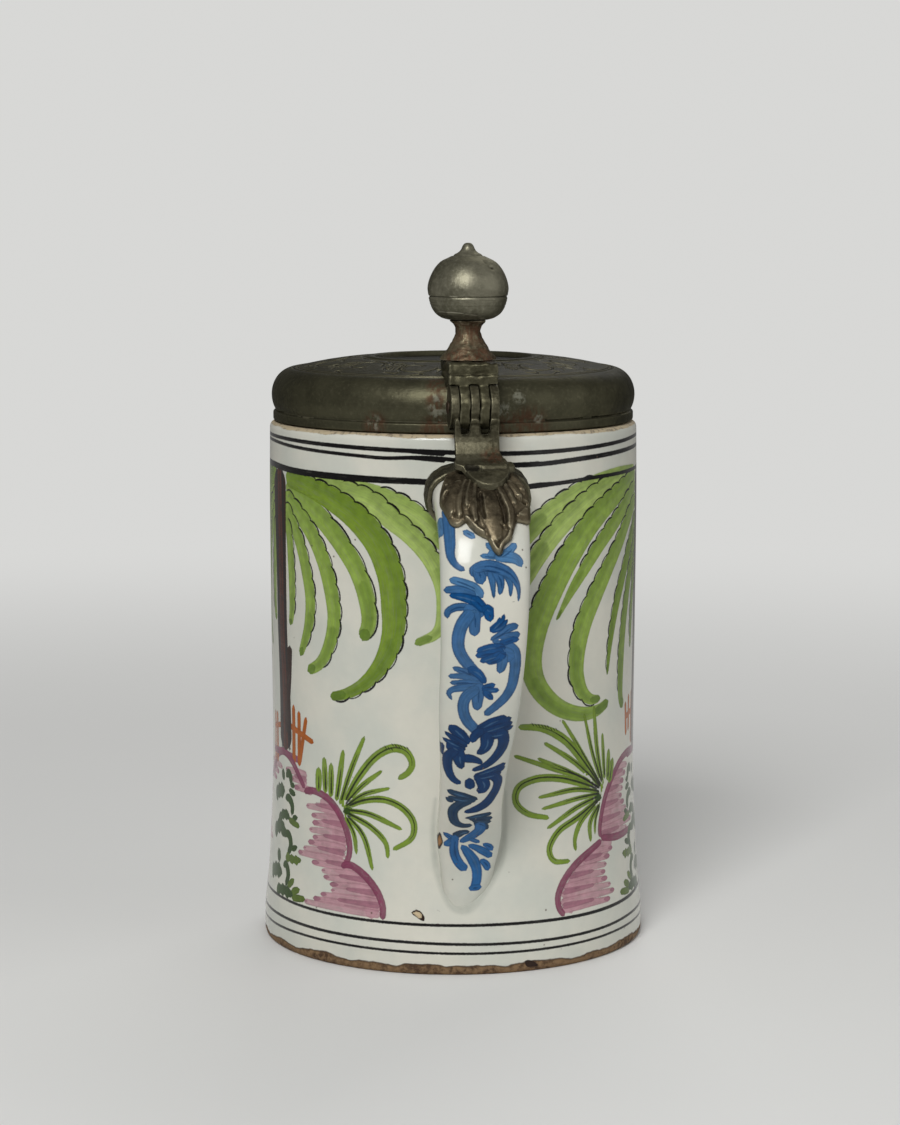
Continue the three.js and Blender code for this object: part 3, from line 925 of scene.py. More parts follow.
@dataclass
class Turning:
    """Geometry nodes that turn a profile round an upright axis."""

    name: str
    bench: Bench = field(init=False)
    tree: bpy.types.NodeTree = field(init=False)

    def __post_init__(self) -> None:
        """Builds the tree."""
        self.tree = bpy.data.node_groups.new(self.name, "GeometryNodeTree")
        self.bench = Bench(self.tree)
        face = self.tree.interface
        face.new_socket("Geometry", in_out="INPUT", socket_type="NodeSocketGeometry")
        for name, kind in (
            ("Sides", "NodeSocketInt"),
            ("Axis", "NodeSocketVector"),
            ("Unevenness", "NodeSocketFloat"),
            ("Ripple", "NodeSocketFloat"),
            ("Seed", "NodeSocketFloat"),
            ("Finish", "NodeSocketMaterial"),
        ):
            face.new_socket(name, in_out="INPUT", socket_type=kind)
        face.new_socket("Geometry", in_out="OUTPUT", socket_type="NodeSocketGeometry")
        self._fill()

    def _fill(self) -> None:
        """Adds the nodes: a grid whose rows follow the profile and whose columns go round the axis."""
        bench = self.bench
        given = bench.node("NodeGroupInput")
        profile, sides, axis, uneven, ripple, seed, finish = (Wire(bench, s) for s in given.outputs[:7])
        rows = bench.wire("GeometryNodeAttributeDomainSize", {"component": "MESH"}, {0: profile})
        columns = sides + 1
        grid = bench.wire("GeometryNodeMeshGrid", None, {"Vertices X": rows, "Vertices Y": columns})
        index = bench.wire("GeometryNodeInputIndex")
        row = bench.math("FLOOR", (index + 0.5) / columns)
        angle = (index - row * columns) / sides * (2 * math.pi)
        settings = {"data_type": "FLOAT_VECTOR", "domain": "POINT"}
        where = bench.wire("GeometryNodeInputPosition")
        found = bench.wire("GeometryNodeSampleIndex", settings, {0: profile, "Value": where, "Index": row})
        out, _, up = bench.parts(found)
        turned = bench.joined(out * bench.math("COSINE", angle), out * bench.math("SINE", angle), up)
        placed = bench.vector("ADD", turned, axis)
        moved = bench.wire("GeometryNodeSetPosition", None, {"Geometry": grid, "Position": placed})
        closed = bench.wire("GeometryNodeMergeByDistance", None, {"Geometry": moved, "Distance": 2e-6})
        normal = bench.wire("GeometryNodeInputNormal")
        drift = bench.vector("ADD", bench.scaled(where, 1.0 / ripple), bench.joined(seed, seed, seed))
        wave = bench.wire("ShaderNodeTexNoise", None, {"Vector": drift, "Scale": 1.0, "Detail": 2.0}) - 0.5
        offset = bench.scaled(normal, wave * uneven)
        rough = bench.wire("GeometryNodeSetPosition", None, {"Geometry": closed, "Offset": offset})
        smooth = bench.wire("GeometryNodeSetShadeSmooth", None, {"Geometry": rough})
        real = bench.wire("GeometryNodeRealizeInstances", None, {"Geometry": smooth})
        dressed = bench.wire("GeometryNodeSetMaterial", None, {"Geometry": real, "Material": finish})
        bench.node("NodeGroupOutput", None, {0: dressed})

    def turn(
        self, name: str, profile: Sequence[Point], finish: bpy.types.Material, sides: int, unevenness: float,
        ripple: float, seed: float = 1.0, axis: Point = (0.0, 0.0),
    ) -> Piece:
        """Turns a profile.

        Args:
            name: the piece's name.
            profile: points as (out, up), from the axis at the top down the outside.
            finish: the piece's material.
            sides: faces round the axis.
            unevenness: height of the slow ripples of the surface.
            ripple: length of a ripple.
            seed: chooses the ripples.
            axis: where the upright axis stands, as (x, y).

        Returns:
            A plain mesh object.
        """
        mesh = bpy.data.meshes.new(name)
        edges = [(i, i + 1) for i in range(len(profile) - 1)]
        mesh.from_pydata([(out * MM, 0.0, up * MM) for out, up in profile], edges, [])
        piece = new_object(name, mesh)
        live = piece.modifiers.new("turned", "NODES")
        live.node_group = self.tree
        inputs = {
            "Sides": sides,
            "Axis": (axis[0] * MM, axis[1] * MM, 0.0),
            "Unevenness": unevenness * MM,
            "Ripple": ripple * MM,
            "Seed": seed,
            "Finish": finish,
        }
        for item in self.tree.interface.items_tree:
            if item.in_out == "INPUT" and item.name in inputs:
                live[item.identifier] = inputs[item.name]
        return settled(piece)


def softened(profile: Sequence[Point], radius: float, step: float = 1.5) -> list[Point]:
    """Rounds the corners of a profile and splits its long runs.

    Args:
        profile: the corners.
        radius: the radius at a square corner.
        step: the longest run between points.

    Returns:
        The points of the rounded profile.
    """
    corners = np.array(profile, float)
    shaped = [corners[0]]
    for before, corner, after in zip(corners, corners[1:], corners[2:]):
        back, ahead = before - corner, after - corner
        back_run, ahead_run = np.linalg.norm(back), np.linalg.norm(ahead)
        reach = min(radius, back_run * 0.45, ahead_run * 0.45)
        start = corner + back / max(back_run, 1e-6) * reach
        end = corner + ahead / max(ahead_run, 1e-6) * reach
        for share in (0.0, 0.33, 0.67, 1.0):
            shaped.append((1 - share) ** 2 * start + 2 * share * (1 - share) * corner + share**2 * end)
    shaped.append(corners[-1])
    split = [shaped[0]]
    for point in shaped[1:]:
        gap = np.linalg.norm(point - split[-1])
        if gap < 1e-4:
            continue
        count = max(1, math.ceil(gap / step))
        last = split[-1]
        split.extend(last + (point - last) * (i / count) for i in range(1, count + 1))
    return [(float(out), float(up)) for out, up in split]


class Shelf:
    """Hands finished pieces over to the frame."""

    def put(
        self, piece: Piece, rider: Rider, slot: Slot, finish: bpy.types.Material, *nodes: str
    ) -> None:
        """Dresses a piece, makes it ride and lets it stand for solids of the frame.

        Args:
            piece: the object.
            rider: the body it moves with.
            slot: its material slot in the record; not used.
            finish: its material.
            nodes: the solids it stands for.
        """
        piece.data.materials.clear()
        piece.data.materials.append(finish)
        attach(piece, rider.value)
        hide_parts(*nodes)
        triangles = sum(len(face.vertices) - 2 for face in piece.data.polygons)
        log.info("piece %s: %d triangles", piece.name, triangles)


# Painted scenery, on the wall laid flat: (round from the handle to the right, up) in millimetres

ROUND = 63.1
AROUND = 2 * math.pi * ROUND


@dataclass(frozen=True)
class Frond:
    """One palm frond: its middle line, half widths, colour and where its dark outline runs."""

    path: Path
    half: tuple[float, ...]
    pigment: Pigment
    outline: tuple[float, float] = (0.1, 1.0)
    scalloped: bool = True


def scallops(path: np.ndarray, half: np.ndarray, side: int, run: tuple[float, float],
             pitch: float) -> list[Stroke]:
    """Draws a scalloped line along one edge of a stroke.

    Args:
        path: the stroke's curve.
        half: its half width at each point.
        side: 1 for its left edge and -1 for its right.
        run: the shares of its length at which the line starts and ends.
        pitch: the length of a scallop.

    Returns:
        One thin stroke for each scallop.
    """
    left = left_of(path) * side
    length = run_along(path)

    def spot(where: float, lift: float) -> Point:
        """Finds a place beside the stroke.

        Args:
            where: the distance along it.
            lift: the height over its edge.

        Returns:
            The place.
        """
        x, y = (np.interp(where, length, path[:, k]) for k in (0, 1))
        nx, ny = (np.interp(where, length, left[:, k]) for k in (0, 1))
        out = np.interp(where, length, half) + lift
        return (float(x + nx * out), float(y + ny * out))

    start, end = (share * length[-1] for share in run)
    count = max(1, round((end - start) / pitch))
    drawn = []
    for i in range(count):
        a = start + (end - start) * i / count
        wide = start + (end - start) * (i + 1) / count - a
        shape = ((-0.16, -0.75), (0, -0.1), (0.3, 0.42), (0.68, 0.38), (1, -0.16))
        line = tuple(spot(a + share * wide, lift) for share, lift in shape)
        weight = 0.3 + 0.09 * math.sin(2.3 * i + len(path))
        drawn.append(Stroke(line, (0.2, weight, weight, weight, 0.26), Pigment.LINE, 0.94))
    return drawn


LEFT_FRONDS = (
    Frond(((-60, 161.5), (-40, 160), (-28, 157), (-19, 152.5), (-12, 146), (-6, 138), (-3.5, 128)),
     (2.4, 3, 3.4, 3, 2), Pigment.LEAF_PALE, (0.4, 0.68)),
    Frond(((-76, 162), (-52, 159.5), (-35, 156), (-27, 150.5), (-20, 145), (-14, 138), (-10.5, 130),
     (-10, 122), (-12, 114), (-19.5, 110)), (2.5, 3.4, 4.2, 3.8, 3.2, 3, 2.2, 1.3), Pigment.LEAF_PALE,
     (0.3, 0.82)),
    Frond(((-76, 158.5), (-65, 155), (-55, 149.5), (-47, 142.5), (-40, 133.5), (-36.3, 124), (-35.6, 116),
     (-38, 110.2)), (2.8, 3.6, 3.6, 3.4, 3.2, 2.4), Pigment.LEAF_LIGHT, (0.1, 0.98), False),
    Frond(((-76, 161.5), (-62, 159.5), (-50, 156), (-40, 150.5), (-32.5, 143), (-28, 133), (-26.6, 122),
     (-27.2, 112), (-30.5, 103.5), (-36.5, 96.5), (-44, 92), (-51.5, 90)),
     (3, 3.4, 4.2, 4.7, 4.7, 4.4, 3.4, 2.2, 1.5), Pigment.LEAF, (0.06, 0.985)),
    Frond(((-77, 156), (-68, 150.5), (-60, 144), (-54.5, 136), (-51, 126.5), (-49.5, 117), (-51.5, 108),
     (-56, 101), (-62.8, 97.3)), (2.6, 3.1, 3.2, 3.1, 2.6, 1.7), Pigment.LEAF_LIGHT, (0.02, 0.9)),
    Frond(((-77, 152.5), (-70.5, 145.5), (-66.3, 139.5), (-63, 131), (-61, 122), (-62, 113), (-67, 102)),
     (2.4, 2.8, 2.8, 2.6, 1.4), Pigment.LEAF_LIGHT, (0.02, 0.92)),
    Frond(((-77, 150), (-73.8, 142), (-72.6, 133), (-72.1, 124), (-72.5, 116), (-73.7, 111.5)),
     (2, 2.4, 2.3, 1.5), Pigment.LEAF_LIGHT, (0.1, 0.9)),
)

RIGHT_FRONDS = (
    Frond(((78, 163), (60, 162.5), (45, 160.2), (33, 156), (22, 149.5), (14, 141), (10, 134)),
     (1.5, 2.6, 3.4, 3.4, 2.4), Pigment.LEAF_PALE, (0.42, 0.86)),
    Frond(((78, 162.5), (60, 161), (45, 156.5), (33, 149.5), (24, 141), (17, 131), (12, 122)),
     (2, 3, 3.6, 3.4, 2.4), Pigment.LEAF_PALE, (0.3, 0.86)),
    Frond(((80, 161.5), (66, 158), (54, 153.5), (44, 147.5), (35, 138.5), (27.5, 127.5), (21.5, 115),
     (19.5, 104), (21.5, 96), (27, 89.5), (34, 85.5), (42, 83.8), (49, 84.2), (55, 86.3)),
     (2.6, 3.4, 4.2, 4.7, 4.6, 4.2, 3.4, 2.6, 1.6), Pigment.LEAF_LIGHT, (0.06, 0.62)),
    Frond(((80, 158), (68, 152.5), (57, 146), (48, 139.5), (41, 132.5), (35, 125.5), (29, 116.5)),
     (2.4, 3, 3.1, 2.8, 2, 0.5), Pigment.LEAF_LIGHT, (0.06, 0.72)),
    Frond(((81, 153.5), (70, 147), (61, 139), (53, 131), (46, 122.5), (40.5, 113.5), (38, 104.5), (38, 97),
     (41, 91), (45, 88.3), (50, 88)), (2.6, 3, 3.4, 3.9, 3.9, 3.2, 1.2), Pigment.LEAF_LIGHT, (0.04, 0.97)),
    Frond(((81.5, 148), (74, 140.5), (67.5, 131.5), (61.5, 122), (57.5, 112.5), (55.3, 104), (54, 95.5)),
     (2.4, 2.7, 2.6, 1.9, 0.7), Pigment.LEAF, (0.04, 0.98)),
    Frond(((82, 143), (76, 134), (70.5, 124), (67, 114), (64.8, 104), (64, 94), (64.5, 86), (66.5, 82.5)),
     (2.2, 2.7, 2.6, 2.6, 1.8), Pigment.LEAF, (0.04, 0.9)),
    Frond(((82.5, 138), (78, 126), (75, 114), (74, 102)), (2, 2.4, 2.2, 1.2), Pigment.LEAF, (0.1, 0.9)),
)


@dataclass(frozen=True)
class Blades:
    """The blades of one shrub, each a path and its width, and the dark ticks on its largest curl."""

    blades: tuple[tuple[Path, float], ...]
    ticks: Path


LEFT_SHRUB = Blades(
    (
        (((-57.5, 57), (-57.4, 65.5)), 3.0),
        (((-54, 57), (-54.7, 69.3)), 2.4),
        (((-51.5, 56), (-51.4, 67.8)), 2.4),
        (((-49, 55), (-46, 72.8)), 2.2),
        (((-47.5, 54), (-43, 66), (-37.4, 78.3)), 1.9),
        (((-46.5, 53.5), (-40, 64), (-33, 72), (-27, 75), (-22.5, 74), (-20.5, 70), (-22, 67), (-25.5, 64.8)),
         2.6),
        (((-46, 53.5), (-39, 61), (-30.8, 67.3)), 1.7),
        (((-46, 53), (-38, 58.5), (-28, 61.6)), 1.5),
        (((-45.8, 53), (-38, 56.5), (-30, 57.5), (-23.5, 55), (-20, 50.5), (-20.5, 45.5), (-27, 41)), 2.2),
        (((-45.5, 52.5), (-36, 52.3), (-23.8, 48)), 1.8),
        (((-45.5, 52), (-35, 48), (-29.5, 43), (-28.6, 38)), 1.9),
        (((-45.5, 51.5), (-38, 45), (-34, 33.5)), 1.8),
        (((-45.2, 50.5), (-41.5, 45), (-40.2, 38.2)), 1.6),
    ),
    ((-30, 74.6), (-27.5, 75.6), (-24.5, 75.2)),
)

RIGHT_SHRUB = Blades(
    (
        (((53, 60), (51.5, 76)), 1.8),
        (((55, 59), (55.7, 70)), 2.4),
        (((56, 58), (58.5, 66.5)), 3.0),
        (((52, 56), (42, 67), (33, 76), (24, 80.8), (15, 82)), 2.8),
        (((51.5, 57), (42, 69), (31.7, 83)), 1.6),
        (((51.8, 57.5), (46, 70), (41.5, 84)), 1.6),
        (((52, 58), (48.5, 71), (46.5, 86)), 2.0),
        (((51.5, 56.5), (38, 67.5), (24.5, 76)), 1.8),
        (((51.5, 56.3), (37, 64), (22, 71)), 1.7),
        (((51.3, 56.2), (40, 62.5), (28, 67), (13.5, 72.5)), 1.8),
        (((51.2, 56), (40, 60.5), (30, 63.5), (21, 64), (15, 61.5), (14.2, 57), (18, 53), (26.5, 50.5)), 2.4),
        (((51, 55.8), (38, 58.7), (22.3, 57.8)), 1.7),
        (((51, 55.5), (38, 55.5), (23.5, 53.8)), 1.6),
        (((51, 55), (38, 52.5), (25.5, 47)), 1.8),
        (((50.8, 54.5), (38, 49), (30, 45.5), (26.3, 40), (28, 36), (34.8, 35)), 2.2),
        (((50.5, 54), (40, 47.5), (37, 42), (37.3, 38)), 2.0),
        (((50.2, 52.5), (44.5, 46.5), (44.5, 40)), 2.0),
        (((50, 52), (47.3, 47), (46.8, 42)), 1.3),
    ),
    ((27, 79.8), (23.5, 81.2), (20, 81.9)),
)


@dataclass(frozen=True)
class Rocks:
    """Rocks: their outlines, level washes as (height, far end), and the edge at which the washes start."""

    outlines: tuple[Path, ...]
    washes: tuple[tuple[float, float], ...]
    edge: Path


LEFT_ROCKS = Rocks(
    (
        ((-94, 66), (-85, 66.5), (-79, 67), (-73, 64.5), (-68.5, 60.5), (-65, 57)),
        ((-65.5, 56), (-60, 57), (-53, 55.5), (-48, 51.5), (-44.5, 46), (-43, 40), (-43.5, 36.5), (-45, 34)),
        ((-46.5, 33.5), (-43, 34.5), (-37.5, 32), (-32.5, 27), (-30.2, 22), (-30, 17.5)),
    ),
    (
        (61.5, -79), (59, -75), (56.5, -72), (51.5, -64), (48.8, -61), (46.4, -60.5), (43.8, -62),
        (41.5, -60), (39.5, -62.5), (37, -65), (35, -68), (33, -60), (31, -55), (29, -54), (27, -51),
        (25, -50.5), (23, -55), (21, -58.5), (19.2, -63),
    ),
    ((-65, 57.5), (-54, 54.5), (-47.5, 50), (-45.2, 42), (-46, 34.5), (-42.5, 33), (-36, 29), (-32.5, 24),
     (-31.5, 17.5)),
)

RIGHT_ROCKS = Rocks(
    (
        ((95, 65), (84, 65.5), (72, 66), (65, 64.5), (59, 60.5), (54, 55), (51, 49), (49.5, 43), (50, 40.5)),
        ((50, 40.5), (60, 39), (76, 39.4)),
        ((50.5, 39.5), (44, 37), (37, 33.5), (32, 29), (29.3, 24), (29.5, 20), (31.5, 17)),
    ),
    (
        (62, 72), (59.6, 70), (57.2, 68), (54.8, 67), (52.4, 66), (50, 68), (47.6, 70), (45.2, 73),
        (42.8, 76), (40.6, 70), (36, 57), (33.6, 55), (31.2, 53), (28.8, 52), (26.4, 53), (24, 55),
        (21.6, 57), (19.2, 54),
    ),
    ((66, 64), (60, 59.5), (55, 54), (52, 48.5), (51, 43), (51.5, 38), (45, 35.5), (38, 31.5), (33.5, 27.5),
     (31.2, 23), (32, 17.5)),
)

# Hanging leaves: line, half width and whether the leaf is a light one.
CHAIN_LEAVES = (
    (((-82, 61), (-80.4, 57)), 1.4, False),
    (((-78.6, 58.6), (-76.6, 60.4), (-74.8, 59.4), (-74.4, 56.6)), 1.4, False),
    (((-75, 56.6), (-71.4, 56.7)), 1, False),
    (((-76, 54.6), (-70.9, 53.7)), 1.1, False),
    (((-89.5, 50.8), (-84, 53.2), (-79.4, 53.6)), 1.9, False),
    (((-78.8, 51.2), (-75.6, 51.8), (-73, 49.4), (-73.3, 46.2)), 1.4, False),
    (((-73, 45.2), (-69, 46.4)), 1, False),
    (((-75.6, 44.6), (-67.6, 43.4)), 1.15, True),
    (((-84.4, 43), (-79.4, 45.8), (-74.6, 45.2)), 1.3, False),
    (((-89.5, 37.8), (-83, 41), (-76.6, 38.6)), 1.9, False),
    (((-78.6, 39), (-75, 39.4), (-73.1, 36.2), (-75, 32.6)), 1.4, False),
    (((-73, 34.6), (-68.5, 36.3)), 1, False),
    (((-76.6, 31.6), (-70, 31.6), (-65.9, 32.3)), 1.15, True),
    (((-83.8, 33), (-82, 28.4)), 1.7, False),
    (((-90.5, 23.6), (-84.4, 25.6), (-79, 25)), 1.9, False),
    (((-78.4, 27.8), (-76, 28.9), (-74, 25.6), (-75.6, 21.6)), 1.35, False),
    (((-74, 21.6), (-69.6, 25)), 1.2, True),
    (((-71.4, 20.2), (-65.9, 22.3)), 1.25, True),
    (((-70.6, 18.6), (-62.4, 19.6)), 1.2, True),
    (((-83, 19), (-76, 20), (-70, 19.4)), 1.5, False),
)

# Fence bars: line and half width.
FENCE_LEFT = (
    (((-72.2, 64), (-72.2, 84.5)), 1.25),
    (((-68.5, 64), (-68.5, 83)), 1.2),
    (((-68.5, 64.5), (-64, 81.5)), 1.1),
    (((-75, 77), (-68, 75.5), (-60, 73.3)), 1.1),
    (((-88, 62), (-88, 80)), 1.2),
    (((-91.5, 62), (-91, 80)), 1.2),
    (((-93, 74), (-84, 75.8), (-77, 77)), 1),
)
FENCE_RIGHT = (
    (((69, 78.3), (76, 79.6), (84, 80)), 1.1),
    (((73.5, 73), (73.5, 86)), 1.2),
    (((77.5, 68), (78, 87)), 1.2),
    (((70.5, 72), (69.5, 84)), 1.1),
    (((89, 64), (89.5, 83)), 1.2),
    (((86, 78.5), (96, 77.5)), 1.1),
)


@dataclass
class Scenery:
    """The painted wall as strokes, with the lines about which its trees are mirrored to the far side."""

    left_trunk: float = -80.5
    right_trunk: float = 83.0

    def bands(self) -> list[Stroke]:
        """The six dark lines round the wall, above and below the picture.

        Returns:
            Their strokes.
        """
        lines = (
            (((-80, 174.3), (-15, 173), (12, 172.2), (35, 172.5), (60, 173.3), (80, 174)),
             (0.55, 0.6, 0.8, 0.6, 0.5)),
            (((-90, 172.7), (-70, 172), (-40, 171), (-30, 170.6), (-15, 171), (2, 169.5), (15, 168.3),
              (40, 169.3), (60, 170), (80, 170.5)), (0.5, 0.55, 0.6, 0.85, 0.55, 0.5)),
            (((-90, 164.7), (-70, 164), (-50, 163.7), (-30, 163.4), (-17, 163.2), (0, 162), (18, 161.2),
              (30, 161.8), (45, 162.6), (60, 162.8), (80, 163)), (0.8, 0.95, 1.15, 0.65, 0.6, 0.6)),
            (((-90, 17.3), (-60, 17), (-40, 16.9), (-20, 16.8), (10, 16.6), (45, 16.2), (70, 16.8),
              (80, 17.5)),
             (0.46, 0.45, 0.5, 0.65, 0.6)),
            (((-85, 11.1), (-60, 11), (-20, 10.8), (10, 10.2), (35, 10), (50, 10.2), (70, 10.8)),
             (0.4, 0.5, 0.48, 0.52)),
            (((-85, 7.2), (-60, 7.7), (-20, 7.6), (10, 7.2), (40, 7.2), (60, 7.5)), (0.42, 0.44, 0.4)),
        )
        laid = []
        for path, half in lines:
            seam = (path[0][1] + path[-1][1]) / 2
            left = ((-AROUND / 2 - 4, seam), (-AROUND / 2 + 12, seam + 0.2), (-130, path[0][1] - 0.2))
            right = ((130, path[-1][1] + 0.2), (AROUND / 2 - 12, seam - 0.1), (AROUND / 2 + 4, seam))
            laid.append(Stroke((*left, *path, *right), half, Pigment.LINE, 0.97, True))
        laps = (
            (((-22, 173.0), (-15, 172.7), (-9, 172.4)), (0.5, 0.9, 0.9)),
            (((-24, 171.0), (-16, 170.7), (-9, 170.2)), (0.45, 0.8, 0.85)),
            (((10, 168.4), (17, 168.5), (23, 169.0)), (0.9, 0.8, 0.4)),
            (((17, 161.1), (22, 161.5), (28, 161.9)), (0.9, 0.9, 0.5)),
        )
        laid.extend(Stroke(path, half, Pigment.LINE, 0.97) for path, half in laps)
        return laid

    def palm(self, fronds: Sequence[Frond], side: int) -> list[Stroke]:
        """The fronds of one palm.

        Args:
            fronds: the fronds, those behind first.
            side: 1 if their outlines run on the left of their paths, -1 if on the right.

        Returns:
            The strokes.
        """
        laid = []
        for frond in fronds:
            leaf = Stroke(frond.path, frond.half, frond.pigment, 0.93)
            path, half = leaf.curve()
            laid.append(leaf)
            near, last = frond.half[-2:]
            tips = ((0.7, (0.95 * near, 0.95 * last), 0.4), (0.94, (0.9 * last, last), 0.6))
            for start, widths, strength in tips:
                laid.append(Stroke(part_of(frond.path, start, 1), widths, Pigment.LEAF_DARK, strength))
            outer = path + left_of(path) * (side * half * 0.5)[:, None]
            shade = tuple(map(tuple, outer[3:-3:6].tolist()))
            widest = max(frond.half)
            laid.append(Stroke(shade, (0.5 * widest, 0.75 * widest, 1.0), Pigment.LEAF_DARK, 0.3))
            pitch = 5.6 if frond.scalloped else 9.5
            laid.extend(scallops(path, half, side, frond.outline, pitch))
        return laid

    def trunk(self, path: Path, half: tuple[float, ...]) -> list[Stroke]:
        """A trunk with darker sides and a lighter middle.

        Args:
            path: its middle line.
            half: its half widths.

        Returns:
            The strokes.
        """
        laid = [Stroke(path, tuple(1.1 * h for h in half), Pigment.BARK, 1.0)]
        sides = ((-3.0, Pigment.LINE, 0.9), (-0.9, Pigment.BARK_LIGHT, 0.8), (1.4, Pigment.BARK_LIGHT, 0.7),
                 (3.2, Pigment.LINE, 0.8))
        for shift, pigment, strength in sides:
            laid.append(Stroke(tuple((x + shift, y) for x, y in path), (0.7, 0.6, 0.8), pigment, strength))
        for index, (x, y) in enumerate(part_of(path, 0.04, 0.98)):
            lean = x + 1.4 * math.sin(2.1 * index)
            laid.append(Stroke(((lean - 1.2, y + 1.5), (lean + 1.3, y - 1.2)), (0.4, 0.2), Pigment.LINE, 0.8))
        return laid

    def shrub(self, shrub: Blades) -> list[Stroke]:
        """A shrub of long blades, each with a thin dark middle.

        Args:
            shrub: its blades and the ticks on its largest curl.

        Returns:
            The strokes.
        """
        root = np.array(shrub.blades[-3][0][0])
        inward = np.array((-math.copysign(1.0, root[0]), 0.3))
        wedge = (tuple(root + inward * 0.4), tuple(root + inward * 3.4))
        laid = [Stroke(wedge, (3.4, 4.0), Pigment.LEAF_DARK, 0.96)]
        for path, width in shrub.blades:
            half = width / 2
            laid.append(Stroke(path, (half * 0.8, half * 1.1, half * 1.1, half * 0.7), Pigment.LEAF, 0.94))
        for index, (path, width) in enumerate(shrub.blades):
            reach = 0.86 if len(path) > 4 else 0.66 + 0.08 * (index % 3)
            shade = tuple((x + 0.15, y + 0.2) for x, y in part_of(path, 0.05, reach))
            laid.append(Stroke(shade, (0.42, 0.32, 0.24, 0.08), Pigment.LINE, 0.85))
        hub = (tuple(root - inward * 0.6), tuple(root + inward * 2.6))
        laid.append(Stroke(hub, (0.9, 1.5), Pigment.CHAIN, 0.9))
        for x, y in shrub.ticks:
            for step in range(3):
                lean = (x - 0.2 + 1.1 * step, y + 1.2 - 0.2 * step)
                laid.append(Stroke((lean, (lean[0] + 1.1, lean[1] - 1.5)), (0.22, 0.18), Pigment.LINE, 0.95))
        return laid

    def rocks(self, rocks: Rocks, towards: int) -> list[Stroke]:
        """Purple rocks: level washes that darken to the outline.

        Args:
            rocks: their outlines and washes.
            towards: -1 if the rocks lie left of their edge, 1 if right.

        Returns:
            The strokes.
        """
        edge = np.array(rocks.edge)
        order = np.argsort(edge[:, 1])
        inner = tuple((x + towards * 2.4, y) for x, y in rocks.edge[1:])
        laid = [Stroke(inner, (2.4, 2.8, 2.2), Pigment.ROCK_WASH, 0.85)]
        for index, (up, far) in enumerate(rocks.washes):
            near = float(np.interp(up, edge[order, 1], edge[order, 0])) - towards * 1.3
            mid = (near + far) / 2
            wash = ((near, up), (mid, up + 0.3), (far, up - 0.2))
            laid.append(Stroke(wash, (1.4, 1.45, 1.2, 0.9), Pigment.ROCK_WASH, 0.82 + 0.06 * (index % 3)))
            dark = ((far, up - 0.1), (far - towards * (2.0 + index % 3), up + 0.1))
            laid.append(Stroke(dark, (0.75 + 0.2 * (index % 3), 0.4), Pigment.ROCK_DEEP, 0.6))
            line = ((near, up + 1.1), (mid + towards * (4 * (index % 2) - 1), up + 1.25))
            laid.append(Stroke(line, (1.2, 0.6), Pigment.ROCK_DEEP, 0.4 + 0.2 * (index % 2)))
        for path in rocks.outlines:
            laid.append(Stroke(path, (1.15, 1.35, 1.3, 1.05), Pigment.ROCK_LINE, 0.88))
        return laid

    def chain(self) -> list[Stroke]:
        """Dark green leaves that hang down the left trunk, those of three points with lobes.

        Returns:
            The strokes.
        """
        laid = []
        for path, half, light in CHAIN_LEAVES:
            pigment = Pigment.CHAIN_LIGHT if light else Pigment.CHAIN
            laid.append(Stroke(path, (half * 0.9, half * 1.1, half * 0.8), pigment, 1.0))
            lobes = part_of(path, 0.15, 0.85)[::2] if len(path) == 3 else ()
            for x, y in lobes:
                leaf = ((x - 0.6, y + half * 1.4), (x + 0.6, y - half * 1.5))
                laid.append(Stroke(leaf, (1.8, 2.1), pigment, 1.0))
        return laid

    def fence(self, bars: Sequence[tuple[Path, float]]) -> list[Stroke]:
        """Orange fence bars."""
        return [Stroke(path, (half, half * 0.9), Pigment.FENCE, 1.0) for path, half in bars]

